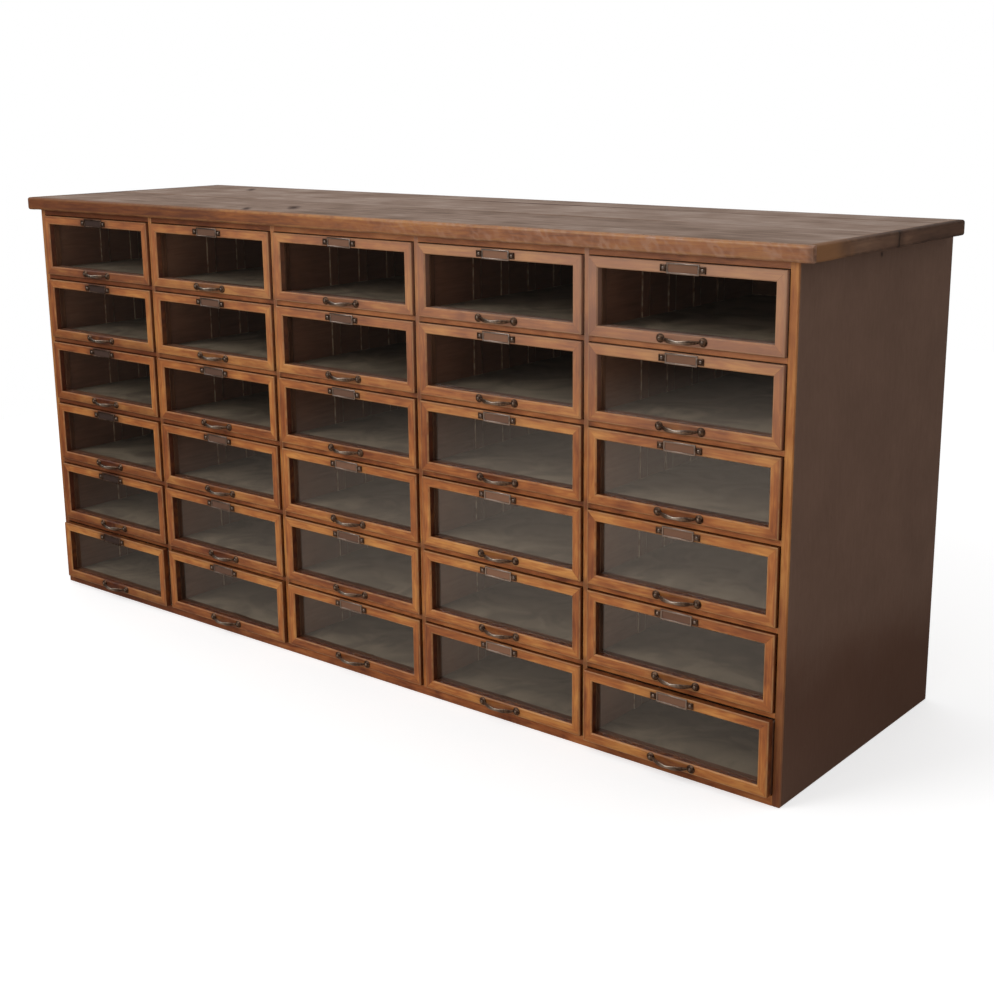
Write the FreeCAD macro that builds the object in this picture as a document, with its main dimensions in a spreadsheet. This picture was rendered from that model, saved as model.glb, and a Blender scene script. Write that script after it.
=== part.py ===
"""Haberdashery cabinet: thirty glass-fronted drawers in a low oak carcass, as a parametric document.

Millimetres, +Z up, drawer fronts facing -Y. The origin is on the floor, in the middle of the carcass's
footprint. Rows are numbered from the top and columns from the left, as seen from the front.

Carcass: two side panels and four partitions stand full height. Thin facings close their front edges,
and short rails between them frame the openings. Every drawer slides on two runners behind its rail.
Drawer: a box with a glazed front. A thin mitred frame is planted on the box, and the pane stands behind
it, held by beads. Battens on the sides take loose dividers. A bow pull and a card holder are screwed on.
"""

import FreeCAD, Part

import os
import re

import Sketcher

ROWS = 6
COLUMNS = 5
BACK_BOARDS = 8
DIVIDER_BATTENS = 4

DRIVING_SIZES = {
    # openings and the face frame
    "opening_width": 366.0,
    "opening_height": 133.0,
    "upright_width": 9.6,
    "side_thickness": 13.5,
    "facing_thickness": 6.0,
    "rail_height": 9.3,
    "rail_depth": 20.0,
    "top_rail_height": 11.0,
    "bottom_rail_height": 17.5,
    # carcass behind it
    "body_depth": 564.0,
    "scribe_margin": 25.0,
    "back_thickness": 10.0,
    "back_board_gap": 1.0,
    "runner_width": 22.0,
    "stop_height": 12.0,
    "stop_thickness": 10.2,
    "back_rail_depth": 20.0,
    "back_rail_clearance": 1.0,
    # top
    "top_thickness": 27.0,
    "side_overhang": 30.0,
    "front_overhang": 15.0,
    "edging_width": 10.0,
    "arris_radius": 4.0,
    "rear_plank_width": 94.0,
    "middle_plank_width": 216.0,
    "edging_joint_depth": 275.0,
    # drawer front
    "front_side_gap": 2.2,
    "front_top_gap": 1.6,
    "front_bottom_gap": 0.8,
    "front_proud": 6.0,
    "frame_width": 18.0,
    "frame_thickness": 13.0,
    "frame_arris": 1.2,
    "frame_bevel": 2.0,
    "glass_thickness": 3.0,
    "glass_clearance": 1.0,
    "bead_depth": 13.0,
    "bead_lap": 5.5,
    # drawer box
    "slide_clearance": 0.3,
    "stop_clearance": 0.3,
    "box_side_gap": 3.5,
    "box_thickness": 10.0,
    "box_side_height": 126.0,
    "bottom_thickness": 5.0,
    "bearer_width": 8.0,
    "bearer_height": 10.0,
    "batten_width": 24.0,
    "batten_thickness": 3.0,
    "batten_height": 95.0,
    "first_batten_depth": 133.0,
    "batten_pitch": 82.0,
    # pull
    "pull_centres": 79.0,
    "pull_height": 10.5,
    "boss_radius": 7.5,
    "boss_thickness": 4.0,
    "boss_arris": 2.2,
    "pull_bar_radius": 2.6,
    "pull_bar_inset": 5.5,
    "pull_bar_seat": 3.0,
    "pull_bow": 12.0,
    "pull_droop": 8.0,
    # card holder
    "holder_width": 60.0,
    "holder_height": 18.0,
    "holder_thickness": 2.0,
    "holder_border": 2.8,
    "holder_drop": 0.8,
    "ear_length": 12.0,
    "ear_height": 11.0,
    "ear_thickness": 1.5,
    "card_width": 57.0,
    "card_height": 15.0,
    "card_thickness": 0.5,
    "card_clearance": 0.3,
    # screws
    "screw_radius": 1.5,
    "screw_bite": 5.0,
    "screw_head_radius": 2.8,
    "screw_head_height": 1.5,
    "back_screw_radius": 1.8,
    "back_screw_length": 24.0,
    "back_screw_head_radius": 3.5,
    "back_screw_head_height": 1.2,
    "back_screw_inset": 24.0,
    # how far the three bottom drawers that don't shut stand out at rest
    "ajar_left": 8.0,
    "ajar_second": 3.0,
    "ajar_right": 9.0,
}

AJAR_DRAWERS = {(6, 1): "ajar_left", (6, 2): "ajar_second", (6, 5): "ajar_right"}

doc = FreeCAD.newDocument("HaberdasheryCabinet")
sheet = doc.addObject("Spreadsheet::Sheet", "Sizes")
for line, (alias, size) in enumerate(DRIVING_SIZES.items(), start=1):
    sheet.set(f"A{line}", alias)
    sheet.set(f"B{line}", str(size))
    sheet.setAlias(f"B{line}", alias)
doc.recompute()

NODES = {}


# ---- formulas ---------------------------------------------------------------------------------------

def formula(text):
    """Turn plain size names into references to the sheet's cells."""
    return re.sub(r"[a-z_]+", lambda word: f"Sizes.{word[0]}" if word[0] in DRIVING_SIZES else word[0], text)


def bind(item, **formulas):
    """Tie an object's properties to the sheet."""
    for path, text in formulas.items():
        item.setExpression(path, formula(text))


def place(item, x, y, z, turn="rotationx(0)"):
    """Tie an object's position, and its turn where it has one, to the sheet."""
    item.setExpression("Placement", formula(f"placement(vector({x}; {y}; {z}); {turn})"))


# Carcass positions: x from the middle, y from the front of the face frame, z from the floor.
FRONT = "(-body_depth / 2)"
BODY_HALF = f"({COLUMNS} / 2 * opening_width + {COLUMNS - 1} / 2 * upright_width + side_thickness)"
CARCASS_HEIGHT = (f"(bottom_rail_height + {ROWS} * opening_height + {ROWS - 1} * rail_height"
                  " + top_rail_height)")
INNER_HALF = f"({BODY_HALF} - side_thickness)"
BACK_FACE = "(body_depth - scribe_margin - back_thickness)"
TOP_HALF = f"({BODY_HALF} + side_overhang)"
TOP_REAR = "(body_depth - scribe_margin)"

# Drawer positions: x from the drawer's middle, y from the face frame, z from the opening's floor.
FRONT_HALF = "(opening_width / 2 - front_side_gap)"
FRONT_HEIGHT = "(opening_height - front_top_gap - front_bottom_gap)"
FRONT_FACE = "(-front_proud)"
FRAME_BACK = "(frame_thickness - front_proud)"
PANE_HALF = f"({FRONT_HALF} - frame_width)"
PANE_LOW = "(front_bottom_gap + frame_width)"
PANE_HIGH = "(opening_height - front_top_gap - frame_width)"
BOX_HALF = "(opening_width / 2 - box_side_gap)"
BOX_INNER_HALF = f"({BOX_HALF} - box_thickness)"
BOX_END = f"({BACK_FACE} - stop_thickness - stop_clearance)"
BOX_BACK = f"({BOX_END} - box_thickness)"
BOX_FLOOR = "(slide_clearance + bearer_height + bottom_thickness)"
BOX_TOP = "(slide_clearance + box_side_height)"
GLASS_BACK = f"({FRAME_BACK} + glass_thickness)"
HOLDER_MIDDLE = "(opening_height - front_top_gap - frame_width / 2 - holder_drop)"
EAR_MIDDLE = "(holder_width / 2 + ear_length / 2)"


def column_middle(column):
    """X of a column's middle, with column 1 at the left."""
    return f"({column - (COLUMNS + 1) / 2} * (opening_width + upright_width))"


def opening_floor(row):
    """Z of the floor of a row's openings, with row 1 at the top."""
    return f"(bottom_rail_height + {ROWS - row} * (opening_height + rail_height))"


# ---- builders ---------------------------------------------------------------------------------------

def block(name, x, y, z):
    """Square-edged piece from three (low, high) pairs of formulas."""
    piece = doc.addObject("Part::Box", name)
    bind(piece, Length=f"{x[1]} - ({x[0]})", Width=f"{y[1]} - ({y[0]})", Height=f"{z[1]} - ({z[0]})")
    place(piece, x[0], y[0], z[0])
    return piece


def board(name, x, y, z):
    """Square-edged piece of the carcass, with y measured from the face frame."""
    return block(name, x, [f"{FRONT} + {end}" for end in y], z)


def keep(node, pieces):
    """Make one node: a single piece under its own label, or a group of separate solids."""
    if len(pieces) == 1:
        NODES[node] = pieces[0]
    else:
        NODES[node] = doc.addObject("Part::Compound", node)
        NODES[node].Links = pieces
    NODES[node].Label = node
    return NODES[node]


def origin_plane(body, role):
    """One of a body's own origin planes."""
    return next(feature for feature in body.Origin.OriginFeatures if feature.Role == role)


def sketch_on(body, role, name):
    """Empty sketch on one of a body's origin planes."""
    sketch = body.newObject("Sketcher::SketchObject", name)
    sketch.AttachmentSupport = (origin_plane(body, role), [""])
    sketch.MapMode = "FlatFace"
    return sketch


def pin_point(sketch, shape, point, axis, text):
    """Hold one coordinate of a sketch point at a formula, or on the axis where that is 0."""
    if text == "0":
        on_axis = -2 if axis == "X" else -1
        sketch.addConstraint(Sketcher.Constraint("PointOnObject", shape, point, on_axis))
        return
    start = sketch.getPoint(shape, point)
    value = start.x if axis == "X" else start.y
    index = sketch.addConstraint(Sketcher.Constraint(f"Distance{axis}", -1, 1, shape, point, value))
    sketch.setExpression(f"Constraints[{index}]", formula(text))


def value_of(text):
    """Number that a formula gives with the sheet as it stands."""
    numbers = {alias: float(sheet.get(alias)) for alias in DRIVING_SIZES}
    plain = re.sub(r"[a-z_]+", lambda word: repr(numbers[word[0]]), text)
    probe = sheet.evalExpression(plain)
    return float(probe)


def polygon(sketch, corners):
    """Closed outline whose corners are pairs of formulas, none below the sketch's axes."""
    points = [FreeCAD.Vector(value_of(x), value_of(y), 0) for x, y in corners]
    lines = [sketch.addGeometry(Part.LineSegment(start, end), False)
             for start, end in zip(points, points[1:] + points[:1])]
    for line, following in zip(lines, lines[1:] + lines[:1]):
        sketch.addConstraint(Sketcher.Constraint("Coincident", line, 2, following, 1))
    for line, (x, y) in zip(lines, corners):
        pin_point(sketch, line, 1, "X", x)
        pin_point(sketch, line, 1, "Y", y)


def edges_at(shape, *points):
    """Names of the edges whose middles lie nearest to the given points."""
    middles = [edge.valueAt((edge.FirstParameter + edge.LastParameter) / 2) for edge in shape.Edges]
    names = []
    for point in points:
        target = FreeCAD.Vector(*point)
        nearest = min(range(len(middles)), key=lambda index: middles[index].distanceToPoint(target))
        names.append(f"Edge{nearest + 1}")
    return names


def dress(body, kind, name, points, size):
    """Fillet or chamfer the body's edges nearest to the given points."""
    base = body.Tip
    feature = body.newObject(f"PartDesign::{kind}", name)
    feature.Base = (base, edges_at(base.Shape, *points))
    bind(feature, **{"Radius" if kind == "Fillet" else "Size": size})
    doc.recompute()
    return feature


# ---- carcass ----------------------------------------------------------------------------------------

def side_panels():
    """Full-height panels. They run past the back boards by the scribe margin."""
    for side, low, high in (("left", f"-{BODY_HALF}", f"-{INNER_HALF}"),
                            ("right", INNER_HALF, BODY_HALF)):
        keep(f"side_panel_{side}", [board("SidePanel", (low, high), ("facing_thickness", "body_depth"),
                                          ("0", CARCASS_HEIGHT))])
        keep(f"end_stile_{side}", [board("EndStile", (low, high), ("0", "facing_thickness"),
                                         ("0", CARCASS_HEIGHT))])


def partitions():
    """Partitions between the columns, each with a muntin on its front edge."""
    for number in range(1, COLUMNS):
        low = f"{column_middle(number)} + opening_width / 2"
        width = (low, f"{low} + upright_width")
        height = ("bottom_rail_height", CARCASS_HEIGHT)
        keep(f"partition_{number}", [board("Partition", width, ("facing_thickness", BACK_FACE), height)])
        keep(f"muntin_{number}", [board("Muntin", width, ("0", "facing_thickness"), height)])


def opening_width_at(column):
    """Low and high x of a column's openings."""
    return f"{column_middle(column)} - opening_width / 2", f"{column_middle(column)} + opening_width / 2"


def rails():
    """Face-frame rails: one long rail on the floor, and short ones between the uprights above it."""
    front = ("0", "rail_depth")
    columns = range(1, COLUMNS + 1)
    keep("bottom_rail", [board("BottomRail", (f"-{INNER_HALF}", INNER_HALF), front,
                               ("0", "bottom_rail_height"))])
    keep("top_rail", [board("TopRail", opening_width_at(column), front,
                            (f"{CARCASS_HEIGHT} - top_rail_height", CARCASS_HEIGHT))
                      for column in columns])
    keep("drawer_rails", [board("DrawerRail", opening_width_at(column), front,
                                (f"{opening_floor(row)} - rail_height", opening_floor(row)))
                          for row in range(1, ROWS) for column in columns])


def strip_pair(name, column, y, z):
    """Two strips along the sides of a column's openings."""
    low, high = opening_width_at(column)
    return [board(name, (low, f"{low} + runner_width"), y, z),
            board(name, (f"{high} - runner_width", high), y, z)]


def drawer_ways():
    """Runners under the drawers, kickers over the top row, and stops behind every drawer."""
    columns = range(1, COLUMNS + 1)
    runners = []
    kickers = []
    stops = []
    kicker_back = f"{BACK_FACE} - back_rail_depth"
    stop_front = f"({BACK_FACE} - stop_thickness)"
    for column in columns:
        kickers += strip_pair("TopKicker", column, ("rail_depth", kicker_back),
                              (f"{CARCASS_HEIGHT} - top_rail_height", CARCASS_HEIGHT))
        for row in range(1, ROWS + 1):
            floor = opening_floor(row)
            stops += strip_pair("DrawerStop", column, (stop_front, BACK_FACE),
                                (floor, f"{floor} + stop_height"))
            if row < ROWS:
                runners += strip_pair("DrawerRunner", column, ("rail_depth", BACK_FACE),
                                      (f"{floor} - rail_height", floor))
    keep("drawer_runners", runners)
    keep("top_kickers", kickers)
    keep("drawer_stops", stops)
    keep("bottom_board", [board("BottomBoard", (f"-{INNER_HALF}", INNER_HALF),
                                ("rail_depth", BACK_FACE), ("0", "bottom_rail_height"))])


def back():
    """Upright back boards, screwed to the back rails at the top and to the bottom board."""
    pitch = f"(2 * {INNER_HALF} / {BACK_BOARDS})"
    rail_low = f"{opening_floor(1)} + {BOX_TOP} + back_rail_clearance"
    keep("back_rails", [board("BackRail", opening_width_at(column),
                              (f"{BACK_FACE} - back_rail_depth", BACK_FACE), (rail_low, CARCASS_HEIGHT))
                        for column in range(1, COLUMNS + 1)])
    boards = []
    screws = []
    screw_heights = ("bottom_rail_height / 2", f"({rail_low} + {CARCASS_HEIGHT}) / 2")
    for number in range(BACK_BOARDS):
        low = f"(-{INNER_HALF} + {number} * {pitch} + back_board_gap / 2)"
        high = f"({low} + {pitch} - back_board_gap)"
        boards.append(board("BackBoard", (low, high), (BACK_FACE, f"{BACK_FACE} + back_thickness"),
                            ("0", CARCASS_HEIGHT)))
        for x in (f"{low} + back_screw_inset", f"{high} - back_screw_inset"):
            screws += [back_screw(x, z) for z in screw_heights]
    keep("back_boards", boards)
    keep("back_screws", screws)


def back_screw(x, z):
    """Wood screw driven forwards through a back board, its head on the board's back."""
    shank = doc.addObject("Part::Cylinder", "BackScrewShank")
    bind(shank, Radius="back_screw_radius", Height="back_screw_length")
    head = doc.addObject("Part::Cone", "BackScrewHead")
    bind(head, Radius1="back_screw_head_radius", Radius2="back_screw_radius",
         Height="back_screw_head_height")
    seat = f"{FRONT} + {BACK_FACE} + back_thickness"
    place(shank, x, seat, z, "rotationx(90)")
    place(head, x, seat, z, "rotationx(-90)")
    screw = doc.addObject("Part::MultiFuse", "BackScrew")
    screw.Shapes = [shank, head]
    return screw


# ---- top --------------------------------------------------------------------------------------------

def edging(node, name, x, y, rounded):
    """Strip of the top's edging, with rounded arrises on its outer edges.

    rounded lists the edges to round as (x, y, z) shares of the strip's length, width and height.
    """
    body = doc.addObject("PartDesign::Body", name)
    outline = sketch_on(body, "XY_Plane", f"{name}Outline")
    length = f"({x[1]} - ({x[0]}))"
    width = f"({y[1]} - ({y[0]}))"
    polygon(outline, (("0", "0"), (length, "0"), (length, width), ("0", width)))
    pad = body.newObject("PartDesign::Pad", f"{name}Pad")
    pad.Profile = outline
    bind(pad, Length="top_thickness")
    doc.recompute()
    extent = (value_of(length), value_of(width), value_of("top_thickness"))
    points = [tuple(share * size for share, size in zip(shares, extent)) for shares in rounded]
    dress(body, "Fillet", f"{name}Arris", points, "arris_radius")
    place(body, x[0], f"{FRONT} + {y[0]}", CARCASS_HEIGHT)
    keep(node, [body])


def top():
    """Three lengthwise planks inside an edging that overhangs the front and the sides."""
    z = (CARCASS_HEIGHT, f"{CARCASS_HEIGHT} + top_thickness")
    inner = f"({TOP_HALF} - edging_width)"
    front = "(edging_width - front_overhang)"
    rear_seam = f"({TOP_REAR} - rear_plank_width)"
    front_seam = f"({rear_seam} - middle_plank_width)"
    width = (f"-{inner}", inner)
    keep("top_plank_front", [board("PlankFront", width, (front, front_seam), z)])
    keep("top_plank_middle", [board("PlankMiddle", width, (front_seam, rear_seam), z)])
    keep("top_plank_rear", [board("PlankRear", width, (rear_seam, TOP_REAR), z)])

    front_corners = [(0, 0, 0.5), (1, 0, 0.5)]
    front_arrises = [(0.5, 0, 1), (0.5, 0, 0), (0, 0.5, 1), (1, 0.5, 1), (0, 0.5, 0), (1, 0.5, 0)]
    edging("top_edging_front", "EdgingFront", (f"-{TOP_HALF}", TOP_HALF), ("-front_overhang", front),
           front_corners + front_arrises)
    outer_left = [(0, 0.5, 1), (0, 0.5, 0)]
    outer_right = [(1, 0.5, 1), (1, 0.5, 0)]
    edging("top_edging_left", "EdgingLeft", (f"-{TOP_HALF}", f"-{inner}"), (front, TOP_REAR), outer_left)
    edging("top_edging_right_front", "EdgingRightFront", (inner, TOP_HALF),
           (front, "edging_joint_depth"), outer_right)
    edging("top_edging_right_rear", "EdgingRightRear", (inner, TOP_HALF),
           ("edging_joint_depth", TOP_REAR), outer_right)


# ---- drawer front -----------------------------------------------------------------------------------

def frame_member(name, length, screw_spread=None, screw_height=None):
    """Mitred member of a drawer front, along +X with its outer edge on the X axis and its face at y 0.

    screw_spread and screw_height place two pilot holes, measured from the member's own corner.
    """
    body = doc.addObject("PartDesign::Body", name)
    outline = sketch_on(body, "XZ_Plane", f"{name}Outline")
    polygon(outline, (("0", "0"), (length, "0"), (f"({length} - frame_width)", "frame_width"),
                      ("frame_width", "frame_width")))
    pad = body.newObject("PartDesign::Pad", f"{name}Pad")
    pad.Profile = outline
    pad.Reversed = True
    bind(pad, Length="frame_thickness")
    doc.recompute()
    middle = value_of(length) / 2
    dress(body, "Chamfer", f"{name}Arris", [(middle, 0, 0)], "frame_arris")
    dress(body, "Chamfer", f"{name}Bevel", [(middle, 0, value_of("frame_width"))], "frame_bevel")
    if screw_spread:
        drill(body, name, length, screw_spread, screw_height)
    return body


def drill(body, name, length, screw_spread, screw_height):
    """Blind pilot holes for two screws, from the member's face."""
    holes = sketch_on(body, "XZ_Plane", f"{name}HoleCentres")
    for side in ("-", "+"):
        x = f"({length} / 2 {side} {screw_spread} / 2)"
        centre = FreeCAD.Vector(value_of(x), value_of(screw_height), 0)
        circle = holes.addGeometry(Part.Circle(centre, FreeCAD.Vector(0, 0, 1), value_of("screw_radius")),
                                   False)
        pin_point(holes, circle, 3, "X", x)
        pin_point(holes, circle, 3, "Y", screw_height)
        radius = holes.addConstraint(Sketcher.Constraint("Radius", circle, value_of("screw_radius")))
        holes.setExpression(f"Constraints[{radius}]", formula("screw_radius"))
    before = body.Shape.Volume
    pocket = body.newObject("PartDesign::Pocket", f"{name}Holes")
    pocket.Profile = holes
    bind(pocket, Length="screw_bite")
    doc.recompute()
    if not pocket.Shape.Volume < before:
        raise RuntimeError(f"{name}: the pilot holes cut nothing")


def front_frame():
    """Four mitred members, planted on the front of the box."""
    width = f"(2 * {FRONT_HALF})"
    low, high = "front_bottom_gap", "(opening_height - front_top_gap)"
    bottom = frame_member("FrameBottom", width, "pull_centres", "(pull_height - front_bottom_gap)")
    place(bottom, f"-{FRONT_HALF}", FRONT_FACE, low)
    top_member = frame_member("FrameTop", width, f"(2 * {EAR_MIDDLE})", f"({high} - {HOLDER_MIDDLE})")
    place(top_member, FRONT_HALF, FRONT_FACE, high, "rotationy(180)")
    left = frame_member("FrameLeft", FRONT_HEIGHT)
    place(left, f"-{FRONT_HALF}", FRONT_FACE, high, "rotationy(90)")
    right = frame_member("FrameRight", FRONT_HEIGHT)
    place(right, FRONT_HALF, FRONT_FACE, low, "rotationy(-90)")
    return [bottom, top_member, left, right]


def glazing():
    """Pane against the back of the frame, and the four beads that hold it."""
    bead = (GLASS_BACK, f"{GLASS_BACK} + bead_depth")
    bead_top = f"({PANE_HIGH} + bead_lap)"
    pane_width = f"({BOX_INNER_HALF} - glass_clearance)"
    return [
        block("Pane", (f"-{pane_width}", pane_width), (FRAME_BACK, GLASS_BACK),
              (f"{BOX_FLOOR} + glass_clearance / 2", f"{bead_top} - glass_clearance / 2")),
        block("BeadLeft", (f"-{BOX_INNER_HALF}", f"-{PANE_HALF}"), bead, (BOX_FLOOR, bead_top)),
        block("BeadRight", (PANE_HALF, BOX_INNER_HALF), bead, (BOX_FLOOR, bead_top)),
        block("BeadBottom", (f"-{PANE_HALF}", PANE_HALF), bead, (BOX_FLOOR, PANE_LOW)),
        block("BeadTop", (f"-{PANE_HALF}", PANE_HALF), bead, (PANE_HIGH, bead_top)),
    ]


def box():
    """Sides, back, bottom and its two bearers."""
    inner = BOX_INNER_HALF
    length = (FRAME_BACK, BOX_END)
    side_height = ("slide_clearance", BOX_TOP)
    bearer = ("slide_clearance", "slide_clearance + bearer_height")
    return [
        block("BoxSideLeft", (f"-{BOX_HALF}", f"-{inner}"), length, side_height),
        block("BoxSideRight", (inner, BOX_HALF), length, side_height),
        block("BoxBack", (f"-{inner}", inner), (BOX_BACK, BOX_END), (BOX_FLOOR, BOX_TOP)),
        block("BoxBottom", (f"-{inner}", inner), length, (bearer[1], BOX_FLOOR)),
        block("BearerLeft", (f"-{inner}", f"bearer_width - {inner}"), length, bearer),
        block("BearerRight", (f"{inner} - bearer_width", inner), length, bearer),
    ]


def divider_battens():
    """Upright battens inside both sides, between which loose dividers drop."""
    inner = BOX_INNER_HALF
    left = (f"-{inner}", f"batten_thickness - {inner}")
    right = (f"{inner} - batten_thickness", inner)
    height = (BOX_FLOOR, f"{BOX_FLOOR} + batten_height")
    battens = []
    for number in range(DIVIDER_BATTENS):
        start = f"(first_batten_depth + {number} * batten_pitch)"
        along = (start, f"{start} + batten_width")
        battens += [block("BattenLeft", left, along, height), block("BattenRight", right, along, height)]
    return battens


# ---- drawer hardware --------------------------------------------------------------------------------

def boss(side):
    """Round boss of the pull, along +Z from the wood, with a softened rim."""
    body = doc.addObject("PartDesign::Body", "Boss")
    outline = sketch_on(body, "XY_Plane", "BossOutline")
    circle = outline.addGeometry(Part.Circle(FreeCAD.Vector(), FreeCAD.Vector(0, 0, 1),
                                             value_of("boss_radius")), False)
    outline.addConstraint(Sketcher.Constraint("Coincident", circle, 3, -1, 1))
    radius = outline.addConstraint(Sketcher.Constraint("Radius", circle, value_of("boss_radius")))
    outline.setExpression(f"Constraints[{radius}]", formula("boss_radius"))
    pad = body.newObject("PartDesign::Pad", "BossPad")
    pad.Profile = outline
    bind(pad, Length="boss_thickness")
    doc.recompute()
    front_rim = (-value_of("boss_radius"), 0, value_of("boss_thickness"))
    dress(body, "Fillet", "BossRim", [front_rim], "boss_arris")
    place(body, f"{side} * pull_centres / 2", FRONT_FACE, "pull_height", "rotationx(90)")
    return body


def pull():
    """Cast bow pull: two bosses and a bar that bows forwards and a little down between them."""
    span = "(pull_centres - 2 * pull_bar_inset)"
    bow_radius = f"(({span} ^ 2 / 4 + pull_bow ^ 2) / (2 * pull_bow))"
    half_turn = f"asin({span} / 2 / {bow_radius})"
    bar = doc.addObject("Part::Torus", "PullBar")
    bind(bar, Radius1=bow_radius, Radius2="pull_bar_radius", Angle3=f"2 * {half_turn}")
    behind = f"({bow_radius} - pull_bow)"
    place(bar, "0", f"{FRONT_FACE} - pull_bar_seat + {behind} * cos(pull_droop)",
          f"pull_height + {behind} * sin(pull_droop)",
          f"rotationx(pull_droop) * rotationz(-90 deg - {half_turn})")
    cast = doc.addObject("Part::MultiFuse", "PullCasting")
    cast.Shapes = [boss(-1), boss(1), bar]
    drilled = doc.addObject("Part::Cut", "Pull")
    drilled.Base = cast
    drilled.Tool = screw_holes("PullHoles", "pull_centres", "pull_height", "boss_thickness")
    return [drilled, screw("-pull_centres / 2", "pull_height", "boss_thickness"),
            screw("pull_centres / 2", "pull_height", "boss_thickness")]


def screw_holes(name, spread, height, thickness):
    """Two cylinders through a fitting, where its screws pass."""
    holes = []
    for side in ("-", ""):
        hole = doc.addObject("Part::Cylinder", "ScrewHole")
        bind(hole, Radius="screw_radius", Height=f"2 * {thickness}")
        place(hole, f"{side}{spread} / 2", FRONT_FACE, height, "rotationx(90)")
        holes.append(hole)
    pair = doc.addObject("Part::Compound", name)
    pair.Links = holes
    return pair


def screw(x, height, thickness):
    """Screw through a fitting of the given thickness and into the frame's pilot hole."""
    shank = doc.addObject("Part::Cylinder", "ScrewShank")
    bind(shank, Radius="screw_radius", Height=f"{thickness} + screw_bite")
    head = doc.addObject("Part::Cone", "ScrewHead")
    bind(head, Radius1="screw_head_radius", Radius2="screw_radius", Height="screw_head_height")
    seat = f"{FRONT_FACE} - {thickness}"
    place(shank, x, seat, height, "rotationx(-90)")
    place(head, x, seat, height, "rotationx(90)")
    whole = doc.addObject("Part::MultiFuse", "Screw")
    whole.Shapes = [shank, head]
    return whole


def card_holder():
    """Framed card holder with an ear at each end, its card and its two screws."""
    plate_front = f"({FRONT_FACE} - holder_thickness)"
    behind = f"({FRONT_FACE} + holder_thickness)"
    half_width = "(holder_width / 2)"
    height = (f"{HOLDER_MIDDLE} - holder_height / 2", f"{HOLDER_MIDDLE} + holder_height / 2")
    ear_height = (f"{HOLDER_MIDDLE} - ear_height / 2", f"{HOLDER_MIDDLE} + ear_height / 2")
    ear_depth = (f"({FRONT_FACE} - ear_thickness)", FRONT_FACE)
    plate = block("HolderPlate", (f"-{half_width}", half_width), (plate_front, FRONT_FACE), height)
    ears = block("HolderEars", (f"-({half_width} + ear_length)", f"{half_width} + ear_length"),
                 ear_depth, ear_height)
    blank = doc.addObject("Part::MultiFuse", "HolderBlank")
    blank.Shapes = [plate, ears]

    window_half = f"({half_width} - holder_border)"
    window_rise = "(holder_height / 2 - holder_border)"
    window = block("HolderWindow", (f"-{window_half}", window_half),
                   (f"{plate_front} - holder_thickness", behind),
                   (f"{HOLDER_MIDDLE} - {window_rise}", f"{HOLDER_MIDDLE} + {window_rise}"))
    pocket_half = "(card_width / 2 + card_clearance)"
    pocket_rise = "(card_height / 2 + card_clearance)"
    pocket = block("HolderPocket", (f"-{pocket_half}", pocket_half),
                   (f"{FRONT_FACE} - card_thickness - card_clearance / 2", behind),
                   (f"{HOLDER_MIDDLE} - {pocket_rise}", f"{HOLDER_MIDDLE} + {pocket_rise}"))
    cuts = doc.addObject("Part::MultiFuse", "HolderCuts")
    cuts.Shapes = [window, pocket]
    opened = doc.addObject("Part::Cut", "HolderOpened")
    opened.Base = blank
    opened.Tool = cuts
    drilled = doc.addObject("Part::Cut", "CardHolder")
    drilled.Base = opened
    drilled.Tool = screw_holes("HolderHoles", f"2 * {EAR_MIDDLE}", HOLDER_MIDDLE, "ear_thickness")

    card = block("Card", ("-card_width / 2", "card_width / 2"),
                 (f"{FRONT_FACE} - card_thickness", FRONT_FACE),
                 (f"{HOLDER_MIDDLE} - card_height / 2", f"{HOLDER_MIDDLE} + card_height / 2"))
    return [drilled, card, screw(f"-{EAR_MIDDLE}", HOLDER_MIDDLE, "ear_thickness"),
            screw(EAR_MIDDLE, HOLDER_MIDDLE, "ear_thickness")]


def drawers():
    """Thirty drawers from one set of pieces, each a group of separate solids in its own opening."""
    pieces = front_frame() + glazing() + box() + divider_battens() + pull() + card_holder()
    for row in range(1, ROWS + 1):
        for column in range(1, COLUMNS + 1):
            drawer = keep(f"drawer_row{row}_col{column}", pieces)
            ajar = AJAR_DRAWERS.get((row, column), "0")
            place(drawer, column_middle(column), f"{FRONT} - {ajar}", opening_floor(row))


# ---- build, check and write -------------------------------------------------------------------------

side_panels()
partitions()
rails()
drawer_ways()
back()
top()
drawers()
doc.recompute()

for item in doc.Objects:
    if "Invalid" in item.State or "Error" in item.State:
        raise RuntimeError(f"{item.Label}: {item.State}")
for node, item in NODES.items():
    if item.Shape.isNull() or not item.Shape.isValid():
        raise RuntimeError(f"{node}: its shape is null or not valid")

os.makedirs("parts", exist_ok=True)
for node, item in NODES.items():
    item.Shape.exportStep(f"parts/{node}.step")
print(f"{len(NODES)} nodes, {sum(len(item.Shape.Solids) for item in NODES.values())} solids")
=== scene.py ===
"""Haberdashery cabinet, dressed: thirty glass-fronted drawers in an oak carcass with a weathered plank top.

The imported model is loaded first, and every piece made here rides on one of its bodies. Carcass parts that
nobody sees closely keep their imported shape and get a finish. The faces, the top and the drawers are built
again as boards with worn arrises, mitred members, cast pulls and pressed card holders.

Sizes are in millimetres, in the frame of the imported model: +X to the right, +Y to the back, +Z up.
"""

import logging
import math
from collections.abc import Callable, Iterable, Sequence
from dataclasses import dataclass, field
from enum import Enum
from functools import partial

import bpy
import numpy as np
from mathutils import Matrix, Vector


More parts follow.
